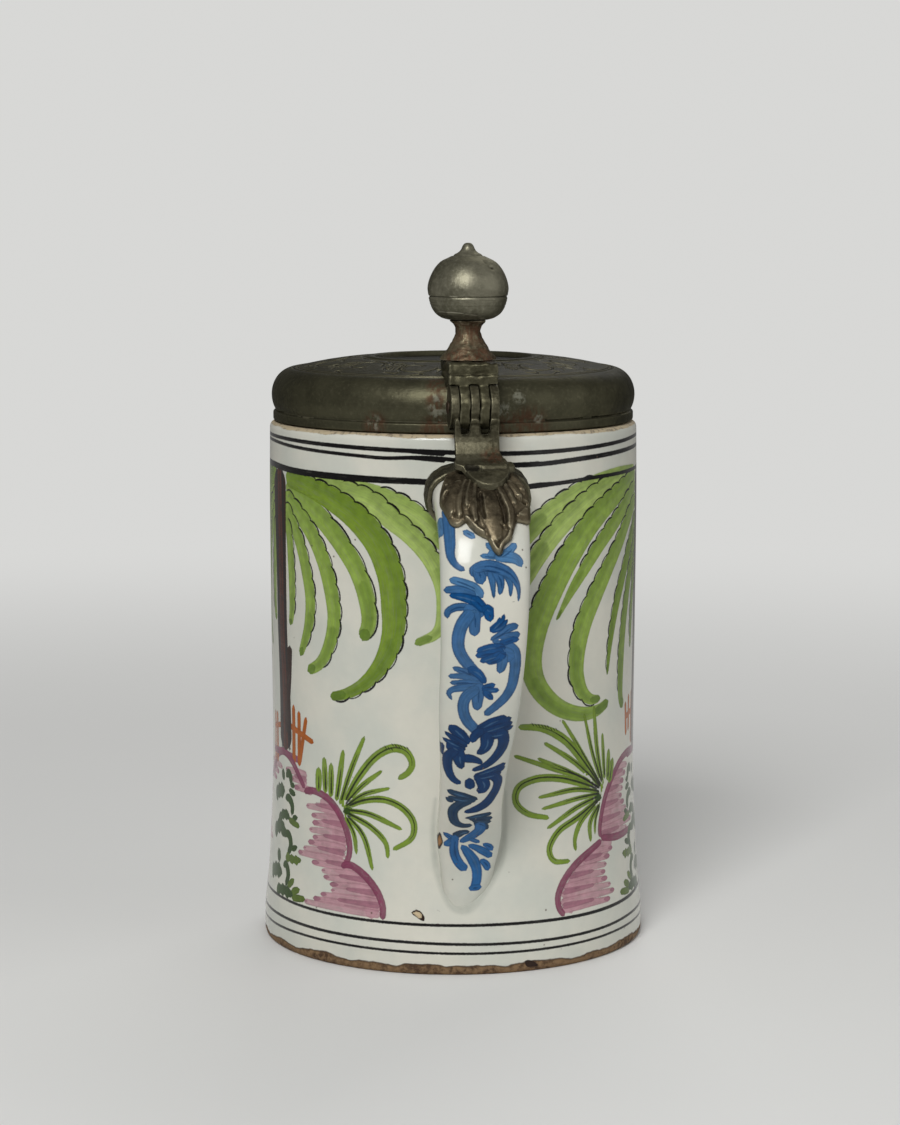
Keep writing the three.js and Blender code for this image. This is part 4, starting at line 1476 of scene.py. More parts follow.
    def picture(self) -> list[Stroke]:
        """The half of the wall that the handle stands on.

        Returns:
            The strokes, in painting order.
        """
        left_trunk = ((-82.5, 164), (-81.5, 135), (-81, 110), (-79.5, 90), (-79, 68))
        right_trunk = ((86, 164), (84.5, 135), (83.5, 110), (83, 90), (83.5, 66))
        stub = ((-74.3, 104.5), (-75, 98), (-76, 88), (-77.5, 74))
        chain = self.chain()
        middle = -0.75  # the line about which the hanging leaves are repeated on the right trunk
        return [
            *self.fence((*FENCE_LEFT, *FENCE_RIGHT)),
            *self.rocks(LEFT_ROCKS, -1),
            *self.rocks(RIGHT_ROCKS, 1),
            *chain,
            *(stroke.mirrored(middle) for stroke in chain),
            *self.palm(LEFT_FRONDS, 1),
            *self.palm(RIGHT_FRONDS, -1),
            *self.trunk(left_trunk, (5.8, 4.4, 4.1, 4.8)),
            *self.trunk(right_trunk, (5.2, 4.3, 4.1, 4.8)),
            Stroke(stub, (1.8, 2.0, 1.6, 1.2), Pigment.BARK, 0.96),
            *self.shrub(LEFT_SHRUB),
            *self.shrub(RIGHT_SHRUB),
            # A band of painted shade round the handle's tail where it meets the wall, then specks and chips.
            Stroke(((10.6, 62), (10.4, 48), (9, 38), (6, 32), (2.6, 27), (-0.8, 23), (-4, 21.8), (-7, 23.2),
                    (-9.2, 27), (-11.2, 32), (-12.6, 38), (-13.4, 48), (-12.6, 60)),
                   (1.3, 2.0, 2.4, 2.0, 1.3), Pigment.PAINTED_SHADE, 0.44),
            Stroke(((52.3, 41), (52.5, 40)), (0.8, 0.8), Pigment.LINE, 0.8),
            Stroke(((-48, 152), (-47.9, 151)), (0.7, 0.7), Pigment.LINE, 0.85),
            Stroke(((-20.4, 20.6), (-18.4, 20.4), (-16.8, 18.9), (-16.2, 18)), (0.6, 1.2, 1.1, 0.5),
                   Pigment.PIT, 0.96),
            Stroke(((-20, 20.5), (-18.5, 20.3), (-17, 19)), (0.3, 0.9, 0.8), Pigment.BUFF, 1.0),
            Stroke(((-12.0, 21.8), (-10.9, 21.2)), (0.4, 0.55), Pigment.PIT, 0.92),
            Stroke(((-12.6, 16.9), (-10.6, 16.7)), (0.9, 0.8), Pigment.ROCK_LINE, 0.6),
            Stroke(((16.6, 3.8), (18.4, 2.4), (21, 1.9)), (0.9, 1.3, 0.7), Pigment.PIT, 0.95),
        ]

    def far_side(self) -> list[Stroke]:
        """The half of the wall away from the handle: the palms' other fronds and a flowering plant.

        Returns:
            The strokes, in painting order.
        """
        left = [*self.rocks(LEFT_ROCKS, -1), *self.palm(LEFT_FRONDS[1:], 1), *self.shrub(LEFT_SHRUB)]
        right = [*self.rocks(RIGHT_ROCKS, 1), *self.palm(RIGHT_FRONDS[2:], -1), *self.shrub(RIGHT_SHRUB)]
        return [
            *(stroke.mirrored(self.left_trunk) for stroke in left),
            *(stroke.mirrored(self.right_trunk) for stroke in right),
            *self.flowers(AROUND / 2),
        ]

    def flowers(self, middle: float) -> list[Stroke]:
        """A plant with three blossoms on a low mound.

        Args:
            middle: where it stands on the wall.

        Returns:
            The strokes.
        """
        laid = []
        for up, half in ((19, 20), (21.5, 18.5), (24, 16), (26.5, 13), (29, 9)):
            wash = ((middle - half, up), (middle, up + 0.4), (middle + half, up))
            laid.append(Stroke(wash, (1.1, 1.3, 1.1), Pigment.ROCK_WASH, 0.8))
        mound = tuple((middle + 23 * math.cos(a), 17 + 15 * math.sin(a)) for a in np.linspace(math.pi, 0, 9))
        laid.append(Stroke(mound, (1.4, 1.6, 1.4), Pigment.ROCK_LINE, 0.92))
        blossoms = ((0.0, 140.0, Pigment.ROCK_DEEP), (-25.0, 116.0, Pigment.YELLOW),
                    (24.0, 104.0, Pigment.BLUE))
        for across, top, pigment in blossoms:
            x = middle + across
            stem = ((middle, 31), (middle + across * 0.25, 58), (x - across * 0.1, top - 24), (x, top - 5))
            laid.append(Stroke(stem, (1.1, 0.9, 0.7), Pigment.LEAF_DARK, 0.95))
            for level in range(5):
                share = 0.16 + 0.15 * level
                at = 31 + (top - 36) * share
                lean = middle + across * share * 0.8
                for side in (-1, 1):
                    leaf = ((lean, at), (lean + side * 6.5, at + 5.5), (lean + side * 13, at + 4))
                    laid.append(Stroke(leaf, (0.6, 2.7, 0.5), Pigment.LEAF, 0.92))
                    laid.append(Stroke(leaf, (0.25, 0.32, 0.12), Pigment.LINE, 0.85))
            for petal in range(7):
                turn = 2 * math.pi * petal / 7 + 0.3
                near, far = ((x + r * math.cos(turn), top + r * math.sin(turn)) for r in (1.5, 11.0))
                laid.append(Stroke((near, far), (1.6, 3.8, 2.2), pigment, 0.9))
                laid.append(Stroke((near, far), (0.32, 0.14), Pigment.LINE, 0.75))
            laid.append(Stroke(((x - 1.6, top), (x + 1.6, top)), (2.8, 2.8), Pigment.YELLOW, 0.95))
            laid.append(Stroke(((x - 0.8, top), (x + 0.8, top)), (1.2, 1.2), Pigment.BARK, 0.9))
        return laid

    def strokes(self) -> list[Stroke]:
        """Everything on the wall, in painting order."""
        return [*self.far_side(), *self.picture(), *self.bands()]


# The vessel


def arc(middle: Point, radius: float, start: float, end: float, count: int) -> list[Point]:
    """Points on part of a circle, from one angle to another."""
    turns = np.linspace(start, end, count)
    return [(middle[0] + radius * math.cos(a), middle[1] + radius * math.sin(a)) for a in turns]


@dataclass
class PaintedBody:
    """The thrown cylinder, its rim, inside, floor and underside in one closed mesh."""

    radius: float = ROUND
    wall: float = 5.6
    floor: float = 8.0
    rim_rounding: float = 2.2
    foot_lift: float = 1.6
    columns: int = 400
    row_step: float = 0.97
    outline: Path = ((65.8, 1.6), (65.8, 9), (64.585, 21.84), (63.64, 39), (62.9, 60), (63.1, 110.6),
                     (63.3, 151.6), (63.1, 176.2))
    height: float = field(init=False)

    def __post_init__(self) -> None:
        """Reads the height off the frame."""
        self.height = span("faience_body")[1].z

    def wall_radius(self, up: np.ndarray) -> np.ndarray:
        """The wall's outer radius at a height."""
        curve = smooth_path(self.outline, 1.0)
        return np.minimum(np.interp(up, curve[:, 1], curve[:, 0]), self.outline[0][0])

    def profile(self) -> tuple[np.ndarray, int, int]:
        """Lists the rows of the mesh.

        Returns:
            The rows as (out, up), and the first and last of the painted ones.
        """
        rim, turn, inner = self.rim_rounding, self.floor, self.radius - self.wall
        foot = self.outline[0][0]
        under = [(0, 0), (16, 0), (34, 0), (50, 0), (60, 0), (64.0, 0), (64.8, 0.08), (65.4, 0.5)]
        ups = np.arange(self.foot_lift, self.height - rim, self.row_step)
        painted = list(zip(self.wall_radius(ups), ups))
        painted[0] = (foot, self.foot_lift)
        lip = arc((self.radius - rim, self.height - rim), rim, 0.1, math.pi / 2, 6)
        back = arc((inner + rim, self.height - rim), rim, math.pi / 2, math.pi, 6)
        inside = [(inner, up) for up in np.linspace(self.height - rim - 7, 2 * turn + 1, 20)]
        corner = arc((inner - turn, 2 * turn), turn, 0, -math.pi / 2, 7)
        ground = [(38, self.floor), (26, self.floor), (13, self.floor), (0, self.floor)]
        rows = np.array([*under, *painted, *lip, *back, *inside, *corner, *ground])
        return rows, len(under), len(under) + len(painted) - 1

    def build(self) -> Piece:
        """Builds the painted cylinder.

        Returns:
            The object.
        """
        rows = self.profile()[0]
        turn = np.linspace(-math.pi, math.pi, self.columns, endpoint=False)
        # The wall is a little out of round, less so towards the foot.
        slow = 0.1 * np.sin(2 * turn + 0.7) + 0.06 * np.sin(3 * turn + 2) - 0.16
        out = rows[1:-1, :1] + slow * np.minimum(1.0, rows[1:-1, 1:] / 40)
        up = np.broadcast_to(rows[1:-1, 1:], out.shape)
        rings = np.stack([out * np.sin(turn), -out * np.cos(turn), up], -1)
        run = run_along(rows)
        hubs = [(0, 0, rows[0, 1]), (0, 0, rows[-1, 1])]
        piece = ring_stack("painted_body", rings, hubs, run[1:-1] / run[-1])
        self._paint(piece)
        return piece

    def _paint(self, piece: Piece) -> None:
        """Lays the scenery on the rows of the outer wall.

        Args:
            piece: the body.
        """
        rows, first, last = self.profile()
        step = AROUND / self.columns
        ring = np.arange(self.columns)
        left = ring * step - AROUND / 2
        corners = []
        for row in range(first, last):
            low, high = rows[row, 1], rows[row + 1, 1]
            near = np.stack([left, np.full_like(left, low)], 1)
            far = np.stack([left, np.full_like(left, high)], 1)
            corners.append(np.stack([near, near + (step, 0), far + (step, 0), far], 1))
        sheet = FlatSheet(np.concatenate(corners), AROUND)
        sheet.lay(Scenery().strokes())
        start = (first - 1) * self.columns
        faces = np.arange(start, start + (last - first) * self.columns)
        sheet.store(piece.data, faces * 4)


@dataclass(frozen=True)
class Station:
    """A section of the handle: out and down as shares, its width and thickness, and its drift to the side."""

    out: float
    down: float
    wide: float
    thick: float
    drift: float


@dataclass
class HandleForm:
    """The ear handle's surface, from stations along its middle."""

    root_up: float = 160.4
    tail_up: float = 22.5
    reach: float = 36.5
    width: float = 31.0
    thickness: float = 18.4
    squareness: float = 2.5
    stations: tuple[Station, ...] = (
        Station(-0.2, 0, 1.04, 1.16, 0),
        Station(0.19, 0.004, 0.99, 0.96, 0),
        Station(0.52, 0.024, 0.96, 0.83, -0.1),
        Station(0.81, 0.092, 0.93, 0.75, -0.3),
        Station(0.97, 0.195, 0.91, 0.7, -0.7),
        Station(0.985, 0.34, 0.87, 0.66, -1.3),
        Station(0.86, 0.485, 0.82, 0.62, -2.2),
        Station(0.62, 0.62, 0.71, 0.58, -2.6),
        Station(0.36, 0.73, 0.67, 0.54, -2.6),
        Station(0.14, 0.82, 0.68, 0.46, -2.3),
        Station(0.03, 0.9, 0.56, 0.32, -2.4),
        Station(-0.02, 0.965, 0.33, 0.22, -3.4),
        Station(-0.04, 1, 0.12, 0.12, -4.4),
    )
    body: PaintedBody | None = None
    table: dict[str, np.ndarray] = field(init=False)

    def __post_init__(self) -> None:
        """Runs the smooth middle line through the stations and measures the back."""
        rows = []
        for station in self.stations:
            up = self.root_up - station.down * (self.root_up - self.tail_up)
            # The upper half stands on the wall's plain radius, the lower half on the flared foot.
            wall = self.body.radius if station.down < 0.5 else float(self.body.wall_radius(up))
            middle = (station.drift, -(wall + station.out * self.reach), up)
            rows.append((*middle, station.wide * self.width / 2, station.thick * self.thickness / 2))
        middles = np.array(rows)[:, :3]
        fine = smooth_path(middles, 0.4)
        run = run_along(fine)
        marks = [run[int(np.linalg.norm(fine - middle, axis=1).argmin())] for middle in middles]
        sizes = np.array(rows)[:, 3:]
        steps = smooth_path(np.column_stack([marks, sizes]), 0.4)
        half = np.interp(run, steps[:, 0], steps[:, 1])
        deep = np.interp(run, steps[:, 0], steps[:, 2])
        ahead = np.gradient(fine, axis=0)
        back = unit(np.column_stack([0 * run, ahead[:, 2], -ahead[:, 1]]))
        length = run_along(fine + back * deep[:, None])
        self.table = {"s": length, "middle": fine, "back": back, "half": half, "deep": deep}

    def squared(self, value: np.ndarray) -> np.ndarray:
        """Turns a sine or cosine into that of the handle's rounded square section."""
        return np.sign(value) * np.abs(value) ** (2 / self.squareness)

    def at(self, s: np.ndarray) -> tuple[np.ndarray, np.ndarray, np.ndarray, np.ndarray]:
        """Reads the handle at distances along its back.

        Args:
            s: distances from the root.

        Returns:
            The middle points, the directions of the back, and half the width and thickness.
        """
        table = self.table
        middle = np.stack([np.interp(s, table["s"], table["middle"][:, k]) for k in range(3)], -1)
        back = np.stack([np.interp(s, table["s"], table["back"][:, k]) for k in range(3)], -1)
        half, deep = (np.interp(s, table["s"], table[key]) for key in ("half", "deep"))
        return middle, back, half, deep

    def point(self, s: np.ndarray, angle: np.ndarray, lift: np.ndarray | float = 0.0) -> np.ndarray:
        """A point of the surface.

        Args:
            s: distance along the back.
            angle: round the section, with the middle of the back at a quarter turn.
            lift: how far the section is grown.

        Returns:
            The points in millimetres.
        """
        middle, back, half, deep = self.at(s)
        across = self.squared(np.cos(angle)) * (half + lift)
        out = self.squared(np.sin(angle)) * (deep + lift)
        placed = middle + back * out[..., None]
        placed[..., 0] += across
        return placed

    def on_back(self, x: np.ndarray, s: np.ndarray, lift: np.ndarray | float) -> np.ndarray:
        """The point above a place on the back.

        Args:
            x: distance to the side from the handle's middle.
            s: distance along the back.
            lift: height above the back.

        Returns:
            The points in millimetres.
        """
        half = self.at(s)[2] + lift
        share = np.clip(np.abs(x) / half, 0, 1) ** (self.squareness / 2)
        angle = np.arccos(np.clip(share * np.sign(x), -1, 1))
        return self.point(s, angle, lift)


# The scroll's dabs: lines on the back laid flat, as (to the side, down from the root), and half widths.
Dab = tuple[Path, tuple[float, ...]]
SCROLL: tuple[tuple[Pigment, tuple[Dab, ...]], ...] = (
    (Pigment.BLUE_PALE, (
        (((-14.2, 40.6), (-14, 44), (-13.7, 47.4)), (0.9, 1.2, 0.8)),
        (((-6.8, 48.4), (-4.4, 50.2)), (1, 1.2)),
        (((0.2, 53), (2, 54.6), (4, 56.5)), (1, 1.3, 1.4)),
        (((-1.8, 56.6), (1, 56.9), (4, 56.8)), (0.7, 1, 1.3)),
        (((1, 56.2), (6, 56.2)), (1.4, 1.8)),
        (((4, 57.2), (6.5, 55.5), (8.8, 52.9)), (1.2, 1.4, 1)),
        (((3, 57), (6.5, 57), (9.5, 57.8), (10.4, 59.2)), (1.3, 2, 1.8, 1.2)),
        (((-11, 63.9), (-7.5, 65.2), (-4, 67), (-2.2, 69)), (1.1, 1.4, 1.7, 1.4)),
    )),
    (Pigment.BLUE, (
        (((-11.6, 38), (-11.5, 46), (-11.4, 52), (-11.3, 56), (-10.4, 58.4), (-9, 60), (-7.6, 60.8)),
         (1.7, 1.75, 1.75, 1.6, 1.1, 0.8)),
        (((-2, 61), (2, 61.6), (6, 62.4)), (1.8, 2, 1.6)),
        (((-4.3, 60.4), (-4.3, 62.2)), (1.4, 1.5)),
        (((-3, 61.5), (-2.1, 64.2)), (1.9, 1.9)),
        (((1, 62), (1.6, 65.5), (2, 69.9)), (1.5, 1, 0.4)),
        (((2.6, 62), (4.1, 65), (3.9, 68.6)), (1.6, 1.4, 0.6)),
        (((5.6, 62), (7.2, 65.5), (7.3, 69.4)), (1.5, 1, 0.4)),
        (((-3.5, 60.6), (0, 59.8), (4, 60.8), (7, 62.4), (9.1, 65), (10, 68), (9.9, 71)),
         (1.6, 1.8, 1.9, 1.8, 1.2, 0.7, 0.35)),
        (((-12.6, 67.1), (-8.5, 67.3), (-4.5, 69)), (1.1, 1.5, 1.3)),
        (((-6.5, 72.6), (-10, 72.8), (-12.2, 74.4), (-12.2, 76)), (1.2, 1.3, 1.2, 0.6)),
        (((-6, 73.4), (-2.2, 74.6)), (2.1, 1.9)),
        (((-4, 75), (-3.8, 80.6)), (2.1, 1.6)),
        (((-5.5, 75), (-7.6, 78), (-8.7, 82), (-8.5, 86), (-7, 89), (-5, 91.4), (-2.8, 93.6), (-0.8, 95.4)),
         (2, 2.1, 2, 1.95, 1.85, 1.8, 1.5, 1.1)),
        (((1.6, 83), (4.5, 81.4), (7.2, 79.5), (9.4, 79)), (0.6, 1.1, 1.4, 1)),
        (((2.5, 83.6), (6, 82.4), (10, 81.8)), (0.9, 1.4, 1.1)),
        (((3.5, 85), (7, 85.6)), (1.6, 2.4)),
        (((6.5, 85.5), (8.9, 87.5), (9.7, 91), (9.6, 95), (9, 99), (7.4, 102.2), (5, 104.8), (3, 106.6),
         (1.7, 107.8)), (2, 2.1, 1.9, 1.8, 1.75, 1.6, 1.4, 1.2)),
        (((4, 87), (7.5, 88.5)), (2.2, 2.4)),
        (((5.2, 88.5), (5.3, 91), (4.9, 93.3)), (1.9, 1.8, 1.1)),
        (((-9.6, 92.4), (-6, 93.6), (-2.5, 95.6)), (0.7, 1.3, 1.3)),
        (((-10.6, 95.3), (-6.5, 95), (-1.5, 96.8)), (0.8, 1.1, 1.3)),
        (((-10, 97.4), (-5.5, 97), (-1, 97.8)), (0.7, 1.1, 1.3)),
        (((-2, 98.6), (-6.5, 98.8), (-9.6, 99.8), (-10.6, 101.2), (-9.6, 103.2)), (1.3, 1.4, 1.3, 0.9, 0.4)),
        (((-1.6, 99), (-1.6, 103), (-1.4, 105.6)), (2.3, 2, 1.3)),
        (((-2.6, 99.6), (-5, 101.6), (-5.9, 104.5), (-5.4, 108), (-4, 110.8), (-1.9, 113.2), (0, 115)),
         (1.9, 1.9, 1.8, 1.75, 1.75, 1.7, 1.6)),
    )),
    (Pigment.BLUE_MID, (
        (((-11.3, 68.9), (-7.5, 69.6), (-4, 70.8), (-1.8, 72)), (0.7, 1.3, 1.6, 1.3)),
        (((-4, 70.4), (-1, 73.4)), (1.7, 1.5)),
        (((-0.6, 73.2), (0.8, 74.2)), (1.6, 1.8)),
        (((0.4, 74.4), (0.9, 76.4)), (1.8, 1.3)),
        (((1.6, 79.8), (3.6, 77.8), (4, 76.2)), (1.1, 1, 0.4)),
        (((1.8, 80), (4.5, 77.8), (5.3, 75.2)), (1.1, 1.1, 0.4)),
        (((1.8, 80.2), (4.6, 79), (6.3, 77)), (0.9, 1.1, 0.5)),
        (((5, 84.2), (8, 83.3), (9.9, 83.4)), (1.2, 1.2, 0.8)),
        (((-2.2, 86.6), (1.4, 85.6), (5, 85.8)), (1, 1.3, 1.5)),
        (((-2.6, 88), (0.6, 87.5), (4.5, 87)), (0.9, 1.4, 1.6)),
        (((-1.2, 89.8), (1.5, 89), (4.5, 88)), (0.8, 1.3, 1.5)),
        (((0.8, 90.4), (3.2, 89.8), (5.4, 88)), (0.7, 1.1, 1.5)),
        (((-4.5, 92.6), (-2, 94), (0.2, 96.8)), (1.4, 1.4, 0.9)),
        (((0.2, 98.8), (3, 98)), (1.1, 1)),
        (((0.6, 99.6), (4.6, 99.8)), (1.3, 0.7)),
        (((0.8, 100.4), (2.9, 102.6)), (1.4, 0.8)),
    )),
    (Pigment.BLUE_DEEP, (
        (((0, 113.4), (4, 111), (7.5, 109.8)), (1.5, 1.7, 1.1)),
        (((0.5, 114), (5, 112), (9.3, 110.6)), (1.5, 1.5, 1)),
        (((1, 114.8), (5.5, 113.4), (9.9, 112.4)), (1.5, 1.5, 0.9)),
        (((1.5, 115.8), (6, 114.8), (10.4, 114)), (1.5, 1.4, 0.7)),
        (((3, 116.4), (6.5, 116.2), (8.8, 115.8)), (1.5, 1.4, 0.9)),
        (((0, 114.6), (-1.6, 116.4), (-1.9, 118)), (1.9, 1.7, 1)),
        (((2.4, 116.5), (2.6, 119.5), (1.6, 121.8), (0.2, 122.9)), (2.3, 2.2, 1.8, 0.9)),
        (((6.5, 114.8), (7.9, 117.5), (7.9, 121), (6.6, 124), (4.4, 126.8), (2, 128.7), (-0.8, 129.9)),
         (1.7, 1.9, 1.9, 1.75, 1.5, 1.2, 0.8)),
        (((-8.8, 113.4), (-6.4, 115.6), (-3.8, 118.4)), (1.5, 2.1, 1.4)),
        (((-10.5, 115.8), (-7.5, 117.8), (-4.5, 119.8)), (0.6, 1.4, 1.4)),
        (((-10.9, 118.6), (-8, 119.8), (-5, 121.2)), (0.6, 1.4, 1.4)),
        (((-11.2, 121.2), (-11.3, 124), (-10.9, 125.6)), (0.7, 0.8, 0.4)),
        (((-8.6, 120.8), (-5.8, 122.4)), (2.1, 2)),
        (((-4.4, 125), (-1.6, 125.4), (0.8, 126.6), (1.4, 127.4)), (1.4, 1.8, 1.3, 0.6)),
        (((-6, 123.5), (-5.6, 126.5), (-4.8, 129)), (2.2, 2, 0.9)),
        (((-7.4, 122.6), (-9, 125), (-9.2, 128.5), (-8.5, 131.8), (-7, 134.4), (-5.2, 135.6)),
         (1.7, 1.6, 1.5, 1.45, 1.3, 1)),
        (((-0.2, 132.2), (3.5, 130.9), (8.8, 129.2)), (0.6, 1.1, 1.1)),
        (((0, 132.8), (4, 132.2), (9, 130.6)), (1, 1.3, 0.8)),
        (((0.6, 133.6), (4.5, 133), (7.6, 132.4)), (1.5, 1.6, 1.1)),
        (((-1.9, 134.4), (-1.5, 137)), (1.4, 1.8)),
        (((1.8, 134.2), (3, 137), (2, 139.2)), (2.1, 2.1, 1.5)),
        (((5, 132.6), (7.3, 135), (7.3, 138.5), (6, 142), (4.2, 145), (1.4, 147.3), (-2.2, 148.7)),
         (1.6, 1.6, 1.5, 1.6, 1.7, 1.5, 0.7)),
    )),
    (Pigment.SLATE, (
        (((-7.8, 140), (-4, 141.2), (0.8, 142.8)), (1.1, 1.5, 0.8)),
        (((-8.2, 143.6), (-7.2, 144.2)), (1, 1.2)),
        (((-7.6, 142.6), (-4, 143.4), (0, 143.2)), (0.8, 1.4, 1.2)),
        (((-1.5, 143.6), (-4.5, 145.6), (-6.2, 148.4), (-6.1, 151.5), (-5.2, 153.9), (-3, 155.2),
         (-0.3, 155)), (1.6, 1.8, 1.7, 1.6, 1.6, 1.1, 0.8)),
        (((-2, 151.6), (2, 150.8), (5.8, 150.2)), (0.4, 1, 0.9)),
        (((-0.5, 152.2), (3, 152.2), (6.2, 152.4)), (0.6, 1.2, 0.9)),
        (((0.5, 152.8), (3.5, 153.6), (6, 154)), (0.7, 1.2, 0.7)),
        (((1.6, 154), (4, 155.6), (5, 157)), (1.3, 1.6, 1)),
        (((-1, 158.2), (-3, 158.7), (-4.8, 160.2)), (0.8, 1.4, 1.5)),
    )),
    (Pigment.BLUE_BRIGHT, (
        (((2.6, 154.8), (3, 157), (1.4, 159.2), (-0.6, 161), (-3, 162.8)), (1.6, 1.9, 1.7, 1.5, 0.8)),
        (((-8.4, 160), (-6, 161.6)), (0.8, 1.4)),
        (((-7.9, 164.8), (-6, 162.8)), (1, 1.5)),
        (((-5.1, 161), (-5.3, 165), (-4.9, 168.5), (-3.4, 171.8), (-1.5, 174)), (1.4, 1.4, 1.55, 1.6, 1.5)),
        (((0.2, 161.8), (2.6, 163.2)), (1, 0.8)),
        (((4.6, 164.4), (6.3, 165.6), (7.2, 167)), (0.7, 1.1, 1)),
        (((0, 164.6), (3.5, 166.6), (6.9, 169.6)), (0.9, 1.5, 1.1)),
        (((4.2, 171.2), (5.8, 173), (6.5, 174.8)), (1, 1.3, 1)),
        (((-2.4, 165), (-0.4, 168), (1.6, 171.4), (2.8, 175), (3.2, 178.5), (3, 181.2)),
         (0.9, 1.6, 1.9, 1.6, 1.6, 1.6)),
        (((1.8, 181.4), (4.4, 181.4)), (1.2, 1.2)),
    )),
)


@dataclass
class PaintedHandle:
    """The ear handle with its blue scroll, luted to the wall with a small fillet of glaze."""

    form: HandleForm
    body: PaintedBody
    columns: int = 104
    row_step: float = 0.8
    sunk: float = 2.4
    fillet: float = 3.0
    root_end: float = 60.0
    tail_start: float = 120.0
    tip_run: float = 20.0
    trim: float = 0.05
    fullness: float = 1.03
    usual_half: Point = (13.5, 6.5)  # the section on which the columns are spread
    painted_half: float = 17.0  # faces further to the side than this are left white

    def angles(self) -> np.ndarray:
        """Angles round the section at even distances, from the middle of the inner side.

        Returns:
            The angles, without the last one that closes the ring.
        """
        fine = np.linspace(-math.pi / 2, 3 * math.pi / 2, 4000)
        x = self.form.squared(np.cos(fine)) * self.usual_half[0]
        y = self.form.squared(np.sin(fine)) * self.usual_half[1]
        run = np.concatenate([[0], np.cumsum(np.hypot(np.diff(x), np.diff(y)))])
        even = np.interp(np.linspace(0, run[-1], self.columns, endpoint=False), run, fine)
        return even[::-1]

    def surface(self, s: np.ndarray, angle: np.ndarray) -> np.ndarray:
        """The glazed surface, drawn out into a fillet at the wall and sunk into it.

        Args:
            s: distance along the back.
            angle: round the section.

        Returns:
            The points in millimetres.
        """
        plain = self.form.point(s, angle)
        out = np.hypot(plain[..., 0], plain[..., 1])
        gap = np.clip(out - self.body.wall_radius(plain[..., 2]), 0, self.fillet)
        flare = self.fillet - np.sqrt(self.fillet**2 - (self.fillet - gap) ** 2)
        back = self.form.at(s)[1]
        upright = 1 - np.abs(np.sin(angle)) * np.abs(back[..., 1])
        tail = np.clip((s - self.root_end) / (self.tail_start - self.root_end), 0.12, 1)
        left = self.form.table["s"][-1] - s
        tip = np.clip(left / self.tip_run, 0, 1)
        rounding = 0.25 + 0.75 * tip * tip * (3 - 2 * tip)
        upright *= tail * tail * (3 - 2 * tail) * rounding * np.clip(left, 0, 1)
        grown = self.form.point(s, angle, flare * upright - self.trim)
        out = np.hypot(grown[..., 0], grown[..., 1])
        push = np.maximum((self.body.wall_radius(grown[..., 2]) - self.sunk) / out, 1.0)
        grown[..., :2] *= push[..., None]
        return grown

    def strokes(self) -> list[Stroke]:
        """The leaf scroll down the back, darker above and brighter towards the tail.

        Returns:
            The strokes.
        """
        laid = []
        for pigment, dabs in SCROLL:
            for path, half in dabs:
                ends = np.array(path)
                ahead = [ends[0] - ends[1], ends[-1] - ends[-2]]
                first, last = (at + run / np.linalg.norm(run) * 0.8 * wide
                               for at, run, wide in zip((ends[0], ends[-1]), ahead, (half[0], half[-1])))
                whole = (tuple(first), *path[1:-1], tuple(last))
                laid.append(Stroke(whole, tuple(self.fullness * h for h in half), pigment, 1.0))
        for pigment, dabs in SCROLL:
            for index, (path, half) in enumerate(dabs):
                vein = part_of(tuple((x + 0.3, s + 0.2) for x, s in path), 0.1, 0.75)
                tone = Pigment.BLUE_DEEP if index % 2 else Pigment.BLUE_PALE
                laid.append(Stroke(vein, (0.16, 0.3, 0.1), tone, 0.6))
        chips = (
            Stroke(((-9.9, 160.4), (-9.8, 164), (-10, 167.8)), (0.2, 1.05, 0.2), Pigment.PIT, 0.95),
            Stroke(((-9.9, 161.6), (-9.8, 164), (-10, 166.6)), (0.1, 0.7, 0.1), Pigment.CLAY, 0.95),
            Stroke(((7.6, 71.3), (8.6, 71.2)), (0.8, 0.6), Pigment.PIT, 0.95),
            Stroke(((7.5, 74.3), (7.7, 74.4)), (0.4, 0.4), Pigment.PIT, 0.9),
        )
        return [*laid, *chips]

    def build(self) -> Piece:
        """Builds the painted handle.

        Returns:
            The object.
        """
        angle = self.angles()
        end = self.form.table["s"][-1]
        middles = self.form.table["middle"]
        depth = np.hypot(middles[:, 0], middles[:, 1]) - (self.body.radius - self.sunk)
        start = float(self.form.table["s"][int(np.argmax(depth > 0))])
        stations = np.linspace(start, end - 0.05, int((end - start) / self.row_step))
        s, a = np.meshgrid(stations, angle, indexing="ij")
        rings = self.surface(s, a)
        heights = np.linspace(0.02, 0.98, len(stations))
        piece = ring_stack("painted_handle", rings, (rings[0].mean(0), rings[-1].mean(0)), heights)
        _, _, half, deep = self.form.at(s)
        across = self.form.squared(np.cos(a)) * half
        under = np.maximum(-self.form.squared(np.sin(a)), 0) * deep
        flat = np.stack([across + np.sign(across) * under, s], -1)
        after = np.roll(flat, -1, axis=1)
        sheet = FlatSheet(np.stack([flat[:-1], after[:-1], after[1:], flat[1:]], -2).reshape(-1, 4, 2))
        sheet.centres[np.abs(sheet.centres[:, 0]) > self.painted_half] = (1000, 1000)  # out of every reach
        sheet.lay(self.strokes())
        sheet.store(piece.data, np.arange(len(sheet.corners)) * 4)
        return piece


# Mounts

DRIFT = -1.3  # how far the hinge and the ball stand to the left of the handle's plane
HINGE = (70.3, 188.0)  # the pin's middle line, out from the wall's axis and up


def eased(value: np.ndarray, low: float, high: float) -> np.ndarray:
    """A smooth step from 0 at low to 1 at high, which may also fall."""
    share = np.clip((value - low) / (high - low), 0, 1)
    return share * share * (3 - 2 * share)


